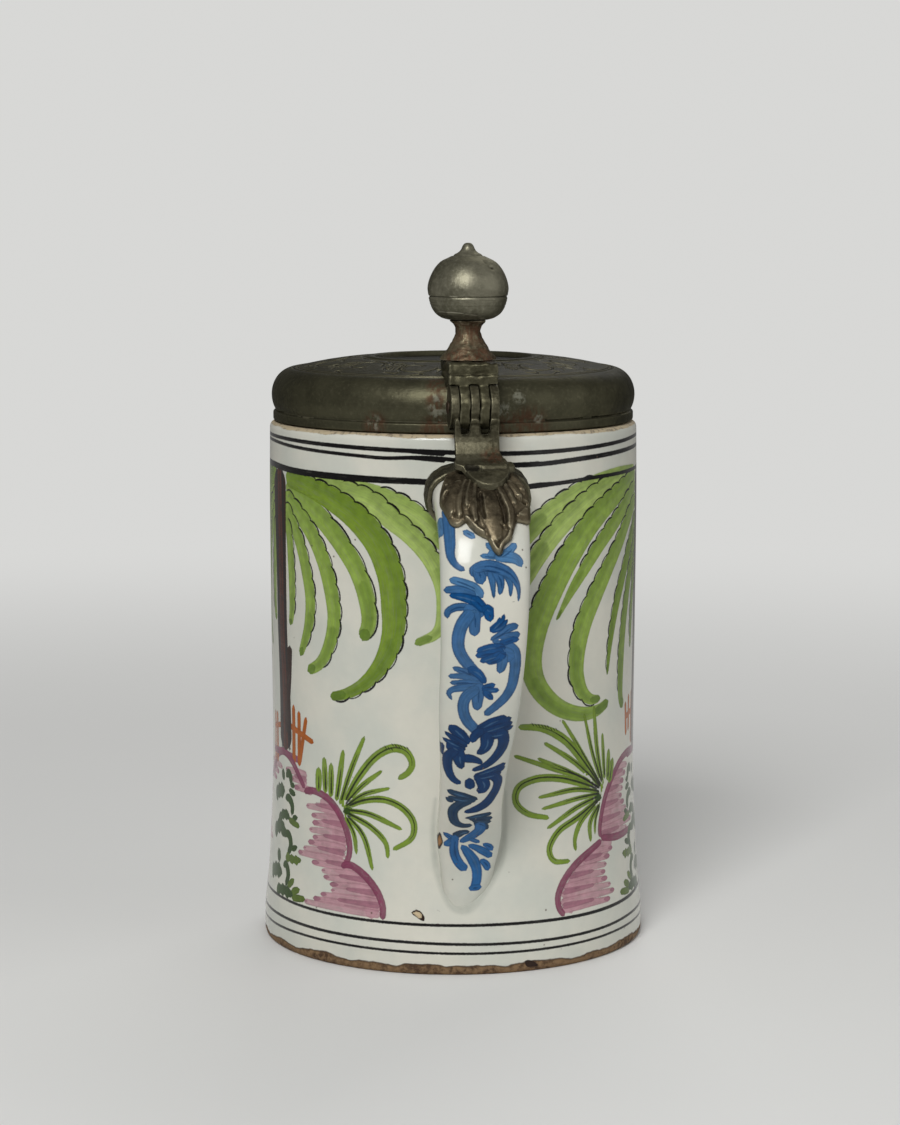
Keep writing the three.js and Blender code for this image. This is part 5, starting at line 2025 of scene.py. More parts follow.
@dataclass
class CastCopy:
    """A cast pewter piece made from its solid in the frame, with worn edges and an uneven skin."""

    node: str
    voxel: float = 0.32
    smoothing: int = 4
    unevenness: float = 0.09
    ripple: float = 6.0

    def reshape(self, points: np.ndarray) -> np.ndarray:
        """Bends the even mesh before it is worn; a plain cast piece stays as it is."""
        return points

    def build(self, name: str, frame: dict) -> Piece:
        """Copies the solid, bends it, wears its edges down and roughens it.

        Args:
            name: the piece's name.
            frame: the loaded frame.

        Returns:
            The object.
        """
        mesh = frame["nodes"][self.node].data.copy()
        work = bmesh.new()
        work.from_mesh(mesh)
        bmesh.ops.remove_doubles(work, verts=work.verts, dist=1e-6)
        work.to_mesh(mesh)
        work.free()
        piece = new_object(name, mesh)
        remesh = piece.modifiers.new("even", "REMESH")
        remesh.mode = "VOXEL"
        remesh.voxel_size = self.voxel * MM
        remesh.use_smooth_shade = True
        settled(piece)
        put_places(piece.data, self.reshape(places_of(piece.data)))
        smooth = piece.modifiers.new("worn", "SMOOTH")
        smooth.factor = 0.5
        smooth.iterations = self.smoothing
        settled(piece)
        rippled(piece, self.unevenness, self.ripple, len(name))
        return piece


@dataclass
class CastStrap(CastCopy):
    """The hinge strap: neck drawn in under the barrel, long slots, a ledge and a nick above the tongue."""

    node: str = "hinge_strap"
    voxel: float = 0.28
    smoothing: int = 3
    knuckle: float = 7.3
    neck_back: float = 71.5
    neck_front: float = 75.2
    slots: tuple[float, float] = (-4.5, 1.95)
    slot_half: float = 1.62
    slot_end: float = 179.6
    tongue_top: float = 172.0
    foot_middle: float = -0.5
    drawn_in: Path = ((171, 0), (173.5, 0.5), (176, 1.05), (179, 1.8), (182, 2.05), (187, 0))

    def reshape(self, points: np.ndarray) -> np.ndarray:
        """Bends the strap to its cast shape.

        Args:
            points: the vertices in millimetres.

        Returns:
            The moved vertices.
        """
        x, out, up = points[:, 0].copy(), -points[:, 1], points[:, 2].copy()
        hinge_out, hinge_up = HINGE
        neck = (out > self.neck_back) & (up < hinge_up)
        heights, shifts = np.array(self.drawn_in).T
        out = out - np.where(neck, np.interp(up, heights, shifts), 0)
        rise = np.clip(hinge_up - up, 0, self.knuckle)
        barrel = np.maximum(self.neck_front, hinge_out + np.sqrt(self.knuckle**2 - rise**2))
        out = np.where((up > 181) & (up < hinge_up), np.minimum(out, barrel), out)
        for middle in self.slots:
            aside = np.abs(x - middle) / self.slot_half
            rounded = self.slot_end + 0.8 * np.minimum(aside, 1.2) ** 4
            up = np.where((aside < 1.06) & neck, np.minimum(up, rounded), up)
        # The foot widens on one side, and the tongue under it leans and thins.
        x = x + 2.6 * eased(up, 174.5, 169.5) * eased(x, 3.0, 6.5) * eased(out, 83.5, 81.5)
        low = (up < self.tongue_top) & (out > 79)
        tongue = eased(out, 81.5, 84.5) * low
        x = x + tongue * (1.9 - 0.15 * (x - self.foot_middle))
        ledge = low * eased(np.abs(x - self.foot_middle), 9.2, 8.4) * eased(out, 83.9, 83.2)
        nick = low * eased(np.abs(out - 84.0), 1.0, 0.6) * eased(np.abs(x + 2.6), 2.5, 2.1)
        up = up + 0.9 * ledge - 3.0 * nick * (up > 165.0)
        return np.stack([x, -out, up], 1)


@dataclass
class CastBracket(CastCopy):
    """The lid's bracket, with a groove between its two tiers and lumps of solder."""

    node: str = "lid_bracket"
    voxel: float = 0.28
    smoothing: int = 8
    unevenness: float = 0.5
    ripple: float = 2.6
    groove: float = 198.7

    def reshape(self, points: np.ndarray) -> np.ndarray:
        """Presses the groove into the front and the sides, where the block stands over the knuckles.

        Args:
            points: the vertices in millimetres.

        Returns:
            The moved vertices.
        """
        inward = np.array([DRIFT, -60.0]) - points[:, :2]
        inward /= np.maximum(np.linalg.norm(inward, axis=1), 1e-6)[:, None]
        deep = 0.4 * eased(np.abs(points[:, 2] - self.groove), 0.6, 0.15)
        return np.column_stack([points[:, :2] + inward * deep[:, None], points[:, 2]])


@dataclass(frozen=True)
class Ridge:
    """A rib or a pit of the cast leaf: its line as a brush stroke has it, and its height or depth."""

    path: Path
    half: tuple[float, ...]
    height: float


@dataclass
class CastLeaf:
    """The leaf on the handle's back: full ribs between deep grooves, and a thick rolled edge."""

    form: HandleForm
    gap: float = 0.3
    thickness: float = 1.5
    edge: float = 0.75
    grain: float = 0.38
    depth: float = 1.35
    rolled: float = 1.1
    flush_below: float = 30.0  # nearer to the root than this the leaf lies under the strap's foot
    tallest: float = 9.0
    outline: Path = (
        (-10.9, 21.2), (-11.8, 25.2), (-12.9, 28.7), (-13.6, 32.2), (-13.7, 35.7), (-12.9, 39.2), (-12, 42.5),
        (-11.2, 45.2), (-9.8, 46.6), (-8.2, 46.5), (-6.5, 45.5), (-5.2, 47.4), (-3.5, 49.4), (-1.5, 50.8),
        (0, 51.6), (0.7, 53), (1.5, 54.7), (2.5, 56.2), (3.6, 56.8), (4.6, 56.2), (5.2, 54.2), (6.5, 52.7),
        (7.8, 51.3), (8.4, 49.2), (9.2, 46.7), (9.9, 45.1), (11.6, 44.9), (13.3, 44.6), (14.3, 43.4),
        (14.8, 40.2), (15, 36.2), (15, 32.2), (14.4, 28.7), (13.2, 24.7), (12.2, 21.2),
    )
    ribs: tuple[Ridge, ...] = (
        Ridge(((-6.5, 22), (-10, 26), (-11.8, 30.4)), (1.6, 1.9, 1.5), 0.9),
        Ridge(((-7, 25.5), (-10.4, 31), (-12, 36)), (1.0, 1.5, 1.3), 0.75),
        Ridge(((-5, 25.5), (-8.6, 32), (-11, 39), (-10.8, 43)), (0.9, 1.5, 1.7, 1.5), 1.0),
        Ridge(((-4.5, 28), (-7, 34), (-8.6, 39.5), (-8.4, 44.4)), (0.7, 1.1, 1.2, 1.1), 1.05),
        Ridge(((-3.6, 29), (-5.3, 35), (-6, 41)), (0.7, 1.0, 0.9), 0.95),
        Ridge(((-2, 30), (-3.4, 36), (-3.9, 42), (-3.6, 46.6)), (0.7, 1.1, 1.3, 1.0), 1.0),
        Ridge(((0.8, 30), (1, 38), (1.8, 45), (2.8, 53)), (2.0, 2.8, 3.0, 1.5), 0.75),
        Ridge(((3.8, 30), (5.9, 37), (7.6, 44), (7.2, 49)), (0.8, 1.4, 1.6, 1.1), 1.1),
        Ridge(((5, 28.5), (7.7, 34), (9.6, 40)), (0.7, 1.1, 0.9), 0.95),
        Ridge(((6.2, 27), (9.4, 32), (11.6, 36.4)), (0.9, 1.4, 1.2), 0.95),
        Ridge(((8, 23.5), (11, 28), (13, 33)), (1.6, 1.9, 1.5), 0.9),
        Ridge(((10.4, 43.4), (12, 42.6), (13.4, 40.4)), (0.9, 1.3, 1.0), 0.9),
        Ridge(((-6.6, 44.2), (-5.4, 45.6), (-3.3, 48.3), (-0.9, 50)), (0.6, 0.7, 0.8, 0.7), 0.8),
        Ridge(((0.9, 51.8), (2.2, 54.4), (3.4, 55.6), (4.6, 53.4), (6.6, 51.2), (7.6, 48.6)), (0.7,), 0.7),
    )
    pits: tuple[Ridge, ...] = (
        Ridge(((-11, 27.6), (-11.6, 29.4)), (0.9, 0.8), 1.0),
        Ridge(((-11.4, 33.5), (-12.2, 35.4)), (0.8, 0.7), 0.9),
        Ridge(((11.6, 37.4), (13.6, 36.8)), (1.0, 0.8), 1.1),
        Ridge(((-1.2, 36), (-1.2, 42), (-0.7, 45)), (0.4, 0.7, 0.5), 0.9),
        Ridge(((4.5, 37), (6, 43), (6, 46.5)), (0.4, 0.6, 0.5), 1.0),
        Ridge(((4.4, 47), (5.4, 48.4)), (0.7, 0.6), 0.5),
    )

    def height(self, points: np.ndarray) -> np.ndarray:
        """The relief over the leaf's plain thickness.

        Args:
            points: places on the back laid flat.

        Returns:
            Heights in millimetres.
        """
        relief = np.zeros(len(points))
        for ridge in (*self.ribs, *self.pits):
            raised = ridge in self.ribs
            path, half = Stroke(ridge.path, ridge.half).curve(0.4)
            gap = np.linalg.norm(points[:, None] - path, axis=-1)
            wide = np.maximum(half[gap.argmin(1)], 0.35)
            share = gap.min(1) / wide / (1.15 if raised else 1.3)
            shape = np.sqrt(np.clip(1 - share**2, 0, None)) * ridge.height
            relief = np.maximum(relief, shape * self.depth) if raised else relief - shape**2 * self.depth
        return relief

    def build(self) -> Piece:
        """Builds the leaf as a closed relief.

        Returns:
            The object.
        """
        edge = smooth_path((*self.outline, self.outline[0]), self.grain)[:-1]
        low, high = edge.min(0), edge.max(0)
        grid = np.stack(np.meshgrid(
            np.arange(low[0], high[0], self.grain), np.arange(low[1], high[1], self.grain * 0.9)), -1)
        grid[::2, :, 0] += self.grain / 2
        grid = grid.reshape(-1, 2)
        far = np.linalg.norm(grid[:, None] - edge, axis=-1).min(1)
        ring = [(i, (i + 1) % len(edge)) for i in range(len(edge))]
        flat = [Vector(point) for point in np.vstack([edge, grid[far > self.grain * 0.6]])]
        flat, _, faces, *_ = geometry.delaunay_2d_cdt(flat, ring, [], 1, 1e-4)
        used, faces = np.unique(np.array(faces), return_inverse=True)
        faces = faces.reshape(-1, 3)
        flat = np.array([tuple(flat[i]) for i in used])
        # The edge is rolled over a quarter circle.
        rim = np.linalg.norm(flat[:, None] - edge, axis=-1).min(1)
        thin = np.clip(rim / self.rolled, 0, 1)
        rounded = np.sqrt(1 - (1 - thin) ** 2)
        lift = self.gap + self.edge + (self.thickness - self.edge) * rounded + self.height(flat) * rounded
        flush = self.gap + self.thickness + 0.15
        lift = np.minimum(lift, np.where(flat[:, 1] < self.flush_below, flush, self.tallest))
        top = self.form.on_back(flat[:, 0], flat[:, 1], lift)
        bottom = self.form.on_back(flat[:, 0], flat[:, 1], self.gap)
        count = len(flat)
        sides = [(a, b, b + count, a + count) for a, b in ring]
        faces = [*faces[:, ::-1].tolist(), *(faces + count).tolist(), *sides]
        piece = mesh_object("palmette_leaf", np.vstack([top, bottom]), faces)
        work = bmesh.new()
        work.from_mesh(piece.data)
        bmesh.ops.recalc_face_normals(work, faces=work.faces)
        work.to_mesh(piece.data)
        work.free()
        rippled(piece, 0.1, 2.6, 4.0)
        return piece


@dataclass
class HingePin:
    """The riveted pin, turned upright and laid along the hinge."""

    turning: Turning
    finish: bpy.types.Material
    radius: float = 1.5
    head_radius: float = 2.3
    reach: float = 8.05
    head: float = 0.6

    def build(self) -> Piece:
        """Builds the pin.

        Returns:
            The object.
        """
        end = self.reach + self.head
        profile = [(0, end), (1.2, end - 0.04), (1.9, end - 0.22), (self.head_radius, end - self.head),
                   (self.radius, self.reach), (self.radius, 0)]
        whole = softened([*profile, *((out, -up) for out, up in reversed(profile[:-1]))], 0.15, 1.0)
        piece = self.turning.turn("hinge_pin_riveted", whole, self.finish, 40, 0.06, 1.5)
        across, along, up = places_of(piece.data).T
        put_places(piece.data, np.stack([up + DRIFT, along - HINGE[0], HINGE[1] - across], 1))
        return piece


# The lid


@dataclass
class Engraving:
    """The border cut into the lid's sloping top: scrolls, leaves and hatching between two rings."""

    repeats: int = 13
    middle: float = 42.0

    def _polar(self, turn: float, out: float) -> Point:
        """A point of the lid's plan from its angle and distance."""
        return (out * math.cos(turn), out * math.sin(turn))

    def _swirled(self, centre: float, wide: float, tall: float, swirl: float) -> Point:
        """A point on an oval about a place of the border, a little ahead of it."""
        turn = centre + (wide * math.cos(swirl) - 2.0) / self.middle
        return self._polar(turn, self.middle + tall * math.sin(swirl))

    def strokes(self) -> list[Stroke]:
        """The cuts, in plan.

        Returns:
            The strokes.
        """
        laid = []
        for out, half in ((54.6, 0.45), (53.3, 0.3), (30.9, 0.4)):
            ring = tuple(self._polar(a, out) for a in np.linspace(-0.05, 2 * math.pi + 0.02, 61))
            laid.append(Stroke(ring, (half,), open_ends=True))
        pitch = 2 * math.pi / self.repeats
        for k in range(self.repeats):
            flip = 1 if k % 2 else -1
            centre = k * pitch
            sizes = [(7.6 * (1 - 0.05 * i), 1.9 * math.pi * i / 14) for i in range(15)]
            scroll = tuple(self._swirled(centre, size, flip * size, swirl) for size, swirl in sizes)
            laid.append(Stroke(scroll, (0.35, 0.5, 0.4, 0.3)))
            for leaf in range(6):
                reaches = ((7.4, 7.4, 0), (9.8, 9.4, -0.05), (10.6, 10.8, 0.35))
                blade = tuple(self._swirled(centre, wide, flip * tall, 0.4 + 0.8 * leaf + lean)
                              for wide, tall, lean in reaches)
                laid.append(Stroke(blade, (0.25, 0.6, 0.15)))
            for hatch in range(5):
                turn = centre + pitch * (0.4 + 0.07 * hatch)
                reach = 4.2 + 1.6 * math.sin(hatch * 0.9)
                ends = (self._polar(turn, self.middle - reach), self._polar(turn + 0.03, self.middle + reach))
                laid.append(Stroke(ends, (0.2, 0.3, 0.15)))
        return laid


@dataclass
class Lid:
    """The turned lid: flange, groove, round shoulder, sloping engraved border, bead and sunken disc."""

    turning: Turning
    finish: bpy.types.Material
    radius: float = 62.2
    bottom: float = 178.7
    flange: float = 3.5
    side: float = 14.2
    shoulder: float = 7.6
    dome: float = 3.5
    bead: float = 28.0
    bead_width: float = 2.2
    bead_height: float = 0.5
    recess: float = 1.3
    cut: float = 0.32
    wall: float = 2.2
    bezel_outer: float = 56.3
    bezel_wall: float = 1.7
    bezel_depth: float = 3.0
    tuck: float = -0.62
    engraved_from: float = 29.4

    def profile(self) -> list[Point]:
        """The lid's section from the middle of its top down the outside and back inside.

        Returns:
            The points as (out, up).
        """
        crown = self.bottom + self.flange + self.side + self.dome
        shoulder_up = crown - self.dome
        shoulder_out = self.radius - self.shoulder
        floor = crown - self.recess
        bead_in = self.bead - self.bead_width / 2
        bead_out = self.bead + self.bead_width / 2
        bead_up = crown + self.bead_height
        disc = softened([(0, floor), (bead_in - 1.1, floor), (bead_in, bead_up), (bead_out, bead_up),
                         (bead_out + 1.1, crown)], 0.6, 1.2)
        slope = []
        for share in np.linspace(1, 0, 46):
            out = shoulder_out + (bead_out - shoulder_out) * share
            slope.append((out, shoulder_up + self.dome * math.sin(share * math.pi / 2)))
        side_bottom = self.bottom + self.flange
        deepest = math.sin(self.tuck)
        round_side = []
        for angle in np.linspace(math.pi / 2, self.tuck, 30):
            up = side_bottom + self.side * ((math.sin(angle) - deepest) / (1 - deepest))
            round_side.append((shoulder_out + self.shoulder * math.cos(angle), up))
        edge = self.radius - 0.5
        bezel_inner, bezel_bottom = self.bezel_outer - self.bezel_wall, self.bottom - self.bezel_depth
        hollow = self.radius - 1.8 * self.wall
        skirt = [
            (edge - 0.9, side_bottom), (edge, side_bottom - 0.5), (edge, self.bottom + 0.5),
            (edge - 0.5, self.bottom), (self.bezel_outer, self.bottom), (self.bezel_outer, bezel_bottom),
            (bezel_inner, bezel_bottom), (bezel_inner, self.bottom + self.flange / 2),
            (hollow, side_bottom), (hollow, shoulder_up - 3 * self.wall),
            (self.radius - 2.8 * self.wall, shoulder_up - 1.6 * self.wall),
            (shoulder_out - 2 * self.wall, shoulder_up - self.wall / 2),
            (bead_in, floor - self.wall), (0, floor - self.wall),
        ]
        skirt = softened([round_side[-1], *skirt], 0.35, 3.0)
        return [*disc[:-1], *slope[1:], *round_side[1:-1], *skirt]

    def build(self) -> Piece:
        """Turns the lid and engraves its border.

        Returns:
            The object.
        """
        piece = self.turning.turn("engraved_lid", self.profile(), self.finish, 360, 0.16, 16.0, 3.0)
        mesh = piece.data
        points = places_of(mesh)
        fours = [face for face in mesh.polygons if len(face.vertices) == 4]
        quads = np.array([tuple(face.vertices) for face in fours])
        starts = np.array([face.loop_start for face in fours])
        slopes = np.array([face.normal.z for face in fours])
        out = np.hypot(points[quads, 0], points[quads, 1]).min(1)
        low = points[quads, 2].min(1)
        shoulder_up = self.bottom + self.flange + self.side
        top = (low > shoulder_up - 1.2) & (out > self.engraved_from) & (slopes > 0.3)
        quads, starts = quads[top], starts[top]
        sheet = FlatSheet(points[quads][..., :2])
        sheet.lay(Engraving().strokes())
        sheet.store(mesh, starts)
        cut = sheet.cut_depth(quads, len(points), 0.5)
        put_places(mesh, points - (0, 0, 1) * (cut * self.cut)[:, None])
        return piece


# Dents of the ball, each with its depth.
DENTS = (
    (Spot((4.1, -63.2, 234.0), 1.2), 0.7), (Spot((5.4, -63.6, 232.2), 1.2), 0.9),
    (Spot((-10.0, -62.0, 229.5), 2.6), 0.25),
)


@dataclass
class Thumbpiece:
    """Turned stem and the ball cast in two halves, dented and with a nipple on top."""

    turning: Turning
    axis: Point = (DRIFT, -56.0)
    bottom: float = 202.5
    stem_height: float = 12.5
    ball_bottom: float = 215.3
    lower_height: float = 7.3
    upper_height: float = 17.1
    radius: float = 12.95
    shell: float = 1.8
    joint: float = 0.3
    middle_up: float = 227.0

    def stem(self, finish: bpy.types.Material) -> Piece:
        """The stem, wide at the foot and drawn in to its neck.

        Args:
            finish: its material.

        Returns:
            The object.
        """
        shares = ((5.9, 1), (4.6, 0.88), (4.2, 0.78), (4.15, 0.67), (4.55, 0.56), (5.3, 0.43), (6.4, 0.3),
                  (7.7, 0.17), (8.8, 0.06), (9.2, 0))
        side = smooth_path([(out, self.bottom + self.stem_height * up) for out, up in shares], 0.5)
        profile = [(0, self.bottom + self.stem_height), *map(tuple, side), (0, self.bottom)]
        rounded = softened(profile, 0.2, 1.2)
        return self.turning.turn("thumb_stem_turned", rounded, finish, 72, 1.25, 3.0, axis=self.axis)

    def _half(self, name: str, profile: Sequence[Point], finish: bpy.types.Material,
              unevenness: float) -> Piece:
        """Turns one half of the ball.

        Args:
            name: the piece's name.
            profile: its section.
            finish: its material.
            unevenness: height of its slow ripples.

        Returns:
            The object.
        """
        rounded = softened(profile, 0.18, 1.2)
        return self.turning.turn(name, rounded, finish, 120, unevenness, 9.0, 5.0, self.axis)

    def lower(self, finish: bpy.types.Material) -> Piece:
        """The lower half, a cup with turned lines under its rim.

        Args:
            finish: its material.

        Returns:
            The object.
        """
        r, base, high = self.radius, self.ball_bottom, self.lower_height
        shares = ((0.985, 0.94), (0.965, 0.78), (0.92, 0.55), (0.82, 0.28), (0.66, 0.08), (0.5, 0))
        side = smooth_path([(out * r, base + up * high) for out, up in shares], 0.35)
        for line, depth in ((0.62, 0.12), (0.76, 0.12), (0.88, 0.1)):
            close = np.exp(-(((side[:, 1] - base - line * high) / 0.28) ** 2))
            side[:, 0] -= depth * close
        inner = r - self.shell
        seam = base + high + self.joint - 0.07
        floor = base + self.shell
        profile = [(0, floor), (0.5 * inner, floor), (0.84 * inner, base + 0.5 * high), (inner, seam),
                   (0.965 * r, seam), *map(tuple, side), (0, base)]
        return self._half("ball_cup", profile, finish, 0.3)

    def upper(self, finish: bpy.types.Material) -> Piece:
        """The upper half with its nipple.

        Args:
            finish: its material.

        Returns:
            The object.
        """
        r, base, high = self.radius, self.ball_bottom + self.lower_height + self.joint, self.upper_height
        shares = ((0, 1), (0.07, 0.992), (0.115, 0.965), (0.145, 0.93), (0.165, 0.89), (0.205, 0.845),
                  (0.3, 0.79), (0.47, 0.725), (0.69, 0.64), (0.86, 0.49), (0.965, 0.32), (1.01, 0.15),
                  (0.99, 0.02))
        side = smooth_path([(out * r, base + up * high) for out, up in shares], 0.25)
        for out, width, lift in ((4.1, 0.35, 0.12), (4.8, 0.3, -0.2)):
            side[:, 1] += lift * np.exp(-(((side[:, 0] - out) / width) ** 2))
        inner = r - self.shell
        profile = [*map(tuple, side), (0.965 * r, base), (inner, base), (0.88 * inner, base + 0.28 * high),
                   (0.5 * inner, base + 0.5 * high), (0, base + 0.56 * high)]
        piece = self._half("ball_cap", profile, finish, 0.35)
        self._dent(piece)
        return piece

    def _dent(self, piece: Piece) -> None:
        """Presses the small dents of long use into the ball, towards its middle.

        Args:
            piece: the upper half.
        """
        points = places_of(piece.data)
        for dent, deep in DENTS:
            near = np.exp(-((np.linalg.norm(points - dent.centre, axis=1) / dent.radius) ** 2))
            inward = unit(np.array([*self.axis, self.middle_up]) - points)
            points = points + inward * (near * deep)[:, None]
        put_places(piece.data, points)


# Studio


@dataclass(frozen=True)
class Studio:
    """Pale floor, soft lights and the camera."""

    frame_height: int = 1125
    focal_pixels: float = 2944.0
    azimuth: float = -6.2
    pitch: float = 7.48
    distance: float = 1010.0
    height: float = 261.3
    sideways: float = -1.06
    sky: Colour = linear(226, 226, 224)
    ambient: float = 0.26
    reflected: float = 0.28
    backdrop: float = 0.9
    floor_reach: float = 6000.0
    lamps: tuple[tuple[str, tuple[float, float, float], float, float], ...] = (
        ("key", (-0.45, -1.25, 1.2), 0.6, 20),
        ("fill", (1.3, -0.7, 0.6), 1.3, 4),
        ("back", (0.5, 1.3, 1.2), 1.0, 7),
    )

    def sky_strength(self, bench: Bench) -> Wire:
        """Works out how strongly the surroundings shine.

        Args:
            bench: the tree's bench.

        Returns:
            The strength: brightest to the camera, a little over the ambient light in reflections.
        """
        path = bench.node("ShaderNodeLightPath")
        seen, glossy, through = (
            Wire(bench, path.outputs[f"Is {kind} Ray"]) for kind in ("Camera", "Glossy", "Transmission"))
        seen = bench.math("MAXIMUM", seen, through) * (self.backdrop - self.ambient)
        return self.ambient + seen + glossy * (self.reflected - self.ambient)

    def camera(self) -> None:
        """Stands the camera where the photograph was taken from, behind the handle and a little above."""
        turn = math.radians(self.azimuth)
        right = Vector((math.cos(turn), math.sin(turn), 0))
        ahead = Vector((-math.sin(turn), math.cos(turn), 0))
        place = right * self.sideways - ahead * self.distance + Vector((0, 0, self.height))
        data = bpy.data.cameras.new("camera")
        data.sensor_fit = "VERTICAL"
        data.sensor_height = 36.0
        data.lens = self.focal_pixels * data.sensor_height / self.frame_height
        data.clip_start = 0.05
        data.clip_end = 50
        made = bpy.data.objects.new("camera", data)
        made.location = place * MM
        made.rotation_euler = (math.radians(90 - self.pitch), 0, turn)
        bpy.context.scene.collection.objects.link(made)
        bpy.context.scene.camera = made

    def lamp(self, name: str, place: tuple[float, float, float], size: float, power: float) -> None:
        """Hangs a soft lamp that faces the tankard.

        Args:
            name: its name.
            place: where it hangs, in metres.
            size: the side of its square face, in metres.
            power: its power in watts.
        """
        data = bpy.data.lights.new(name, "AREA")
        data.shape = "SQUARE"
        data.size = size
        data.energy = power
        made = bpy.data.objects.new(name, data)
        made.location = place
        made.rotation_euler = (Vector((0, 0, 0.12)) - Vector(place)).to_track_quat("-Z", "Y").to_euler()
        bpy.context.scene.collection.objects.link(made)

    def lights(self) -> None:
        """A large key lamp above on the left, a fill on the right, one from behind and a pale world."""
        for lamp in self.lamps:
            self.lamp(*lamp)
        world = bpy.data.worlds.new("studio")
        bpy.context.scene.world = world
        world.use_nodes = True
        world.node_tree.nodes.clear()
        bench = Bench(world.node_tree)
        light = {"Color": self.sky, "Strength": self.sky_strength(bench)}
        sky = bench.wire("ShaderNodeBackground", None, light)
        bench.node("ShaderNodeOutputWorld", None, {"Surface": sky})

    def floor(self) -> None:
        """Lays the pale floor, which fades into the surroundings away from the tankard."""
        reach = self.floor_reach
        corners = np.array([(-reach, -reach, 0), (reach, -reach, 0), (reach, reach, 0), (-reach, reach, 0)])
        made = mesh_object("floor", corners, [(0, 1, 2, 3)])
        paper = bpy.data.materials.new("pale_paper")
        paper.use_nodes = True
        paper.node_tree.nodes.clear()
        bench = Bench(paper.node_tree)
        place = bench.millimetres()
        colour = bench.shaded(self.sky, 0.98 + bench.noise(place, 0.004, 2.0) * 0.04)
        paint = bench.wire("ShaderNodeBsdfPrincipled", None, {"Base Color": colour, "Roughness": 0.9})
        light = {"Color": self.sky, "Strength": self.sky_strength(bench)}
        glow = bench.wire("ShaderNodeEmission", None, light)
        away = bench.step(bench.vector("LENGTH", place, out=1), 260.0, 1100.0)
        shader = bench.wire("ShaderNodeMixShader", None, {0: away, 1: paint, 2: glow})
        bench.node("ShaderNodeOutputMaterial", None, {"Surface": shader})
        made.data.materials.append(paper)

    def build(self) -> None:
        """Sets camera, lights and floor, and the plain colour view."""
        self.camera()
        self.lights()
        self.floor()
        bpy.context.scene.view_settings.view_transform = "Standard"


HINGE_STAINS = (Spot((-6.9, -62.6, 203.6), 4.0), Spot((3.2, -63.6, 203.6), 4.0), Spot((-1.3, -56, 211), 6.5),
                Spot((4.0, -78, 171.5), 3.8), Spot((-1.3, -60, 200), 7.0))
# Painted shade in the nick above the strap's tongue, and in a dent of the ball.
STRAP_NICK_SHADE = (Spot((-3.1, -83.2, 169.7), 1.4), Spot((-4.5, -83, 169.8), 1.2), Spot((-1.7, -83.2, 169.6), 1.1))
BALL_DENT_SHADE = (Spot((5.7, -63.5, 232.3), 0.7),)
LID_STAINS = (Spot((18.7, -58.8, 180.2), 6.5), Spot((12, -60.5, 180), 5.0), Spot((-11.6, -58.3, 194.3), 3.4),
              Spot((-13, -61, 180), 4.5), Spot((-31.6, -52.9, 181.4), 4.0), Spot((-12.4, -60.6, 189), 3.0))
LID_CRUSTS = (Spot((-11.3, -60.5, 187.4), 3.4), Spot((-11, -60.8, 184.2), 2.4),
              Spot((9.8, -61.2, 186), 3.0), Spot((15.2, -59.8, 190.7), 2.4),
              Spot((21.5, -57.5, 183.3), 1.6), Spot((-31.6, -52.9, 181.8), 2.4))


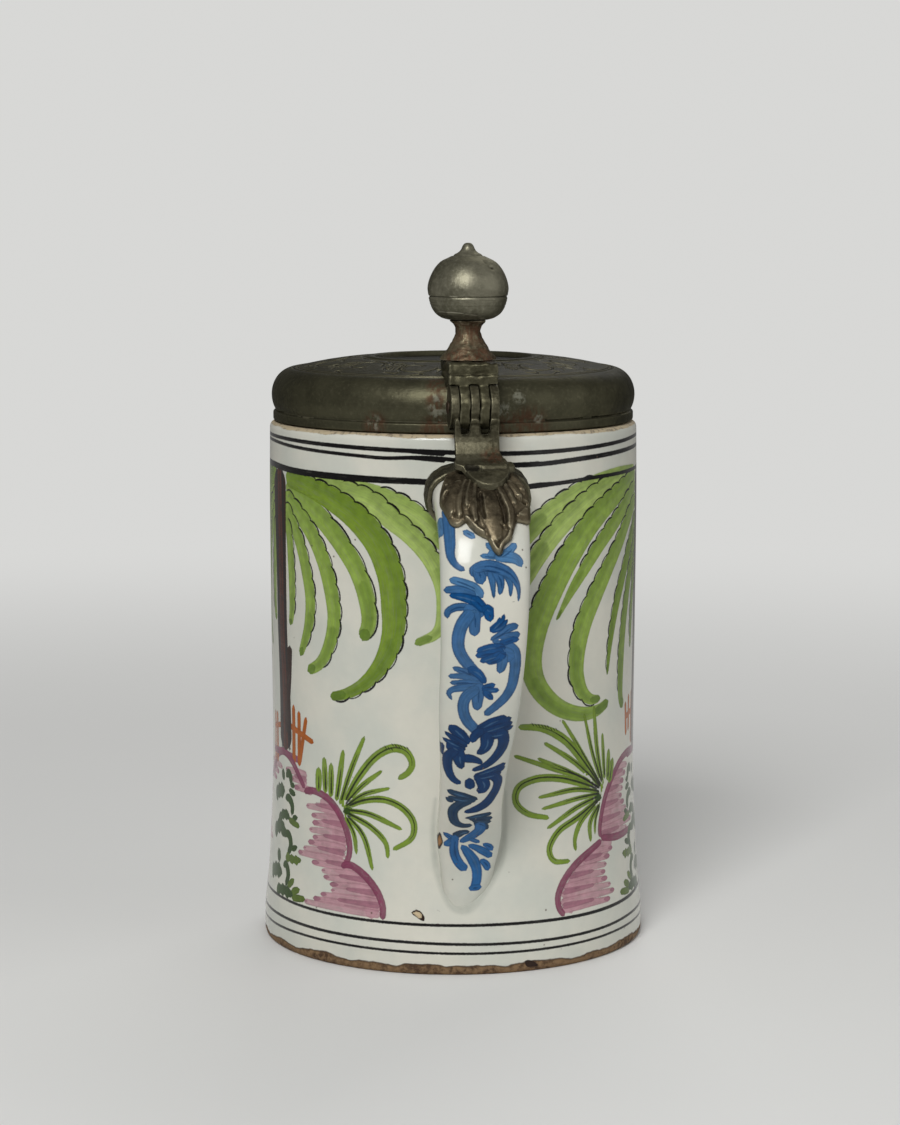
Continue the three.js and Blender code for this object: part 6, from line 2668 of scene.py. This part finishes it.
def main() -> None:
    """Builds the tankard's pieces in order, from the frame outwards."""
    logging.basicConfig(level=logging.INFO, format="%(name)s: %(message)s")
    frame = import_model()
    Studio().build()
    shelf = Shelf()
    turning = Turning("turned_piece")

    body = PaintedBody()
    body_glaze = TinGlaze("painted_wall_glaze", foot=3.2, rim=body.height - 0.9).material()
    shelf.put(body.build(), Rider.VESSEL, Slot.BODY, body_glaze, "faience_body")

    form = HandleForm(body=body)
    handle_glaze = TinGlaze("painted_handle_glaze", foot=-50.0, soft=0.2, edge=0.36).material()
    handle = PaintedHandle(form, body).build()
    shelf.put(handle, Rider.VESSEL, Slot.HANDLE, handle_glaze, "faience_handle")

    mount = Pewter(
        "mount_pewter", body=linear(102, 98, 80), rubbed=linear(126, 122, 101), stains=HINGE_STAINS,
        shaded_nicks=STRAP_NICK_SHADE,
    ).material()
    leaf_metal = Pewter(
        "leaf_pewter", body=linear(106, 96, 77), dark=linear(46, 40, 31), rubbed=linear(148, 140, 118),
        roughness=0.4, metallic=0.76, edge_tint=0.3,
    ).material()
    collar = CastCopy("handle_collar", voxel=0.35, smoothing=6).build("cast_collar", frame)
    shelf.put(collar, Rider.VESSEL, Slot.MOUNT, mount, "handle_collar")
    shelf.put(CastLeaf(form).build(), Rider.VESSEL, Slot.MOUNT, leaf_metal, "palmette")
    strap = CastStrap().build("cast_strap", frame)
    shelf.put(strap, Rider.VESSEL, Slot.MOUNT, mount, "hinge_strap")
    iron = Pewter(
        "pin_iron", body=linear(72, 58, 46), dark=linear(38, 28, 22), rubbed=linear(120, 108, 94),
        roughness=0.55,
    ).material()
    shelf.put(HingePin(turning, iron).build(), Rider.VESSEL, Slot.PIN, iron, "hinge_pin")

    lid_metal = Pewter(
        "lid_pewter", body=linear(81, 79, 62), dark=linear(66, 64, 50), stains=LID_STAINS,
        crusts=LID_CRUSTS, engraved=True, turned_at=(0.0, 0.0), sunken=26.2,
    ).material()
    shelf.put(Lid(turning, lid_metal).build(), Rider.LID, Slot.LID, lid_metal, "lid_shell")
    bracket_metal = Pewter("bracket_pewter", body=linear(92, 89, 70), stains=HINGE_STAINS).material()
    bracket = CastBracket().build("cast_bracket", frame)
    shelf.put(bracket, Rider.LID, Slot.LID, bracket_metal, "lid_bracket")

    thumb = Thumbpiece(turning)
    ball_metal = Pewter(
        "ball_pewter", body=linear(128, 125, 108), dark=linear(92, 90, 75), rubbed=linear(170, 166, 148),
        turned_at=thumb.axis, roughness=0.43, shaded_nicks=BALL_DENT_SHADE,
    ).material()
    stem_metal = Pewter(
        "stem_pewter", body=linear(120, 112, 90), dark=linear(62, 52, 38), rubbed=linear(170, 162, 138),
        rust=linear(84, 38, 24), stains=HINGE_STAINS, rusted=0.6, roughness=0.44,
    ).material()
    shelf.put(thumb.stem(stem_metal), Rider.LID, Slot.THUMBPIECE, stem_metal, "thumb_stem")
    shelf.put(thumb.lower(ball_metal), Rider.LID, Slot.THUMBPIECE, ball_metal, "thumb_ball_lower")
    shelf.put(thumb.upper(ball_metal), Rider.LID, Slot.THUMBPIECE, ball_metal, "thumb_ball_upper")


if __name__ == "__main__":
    main()
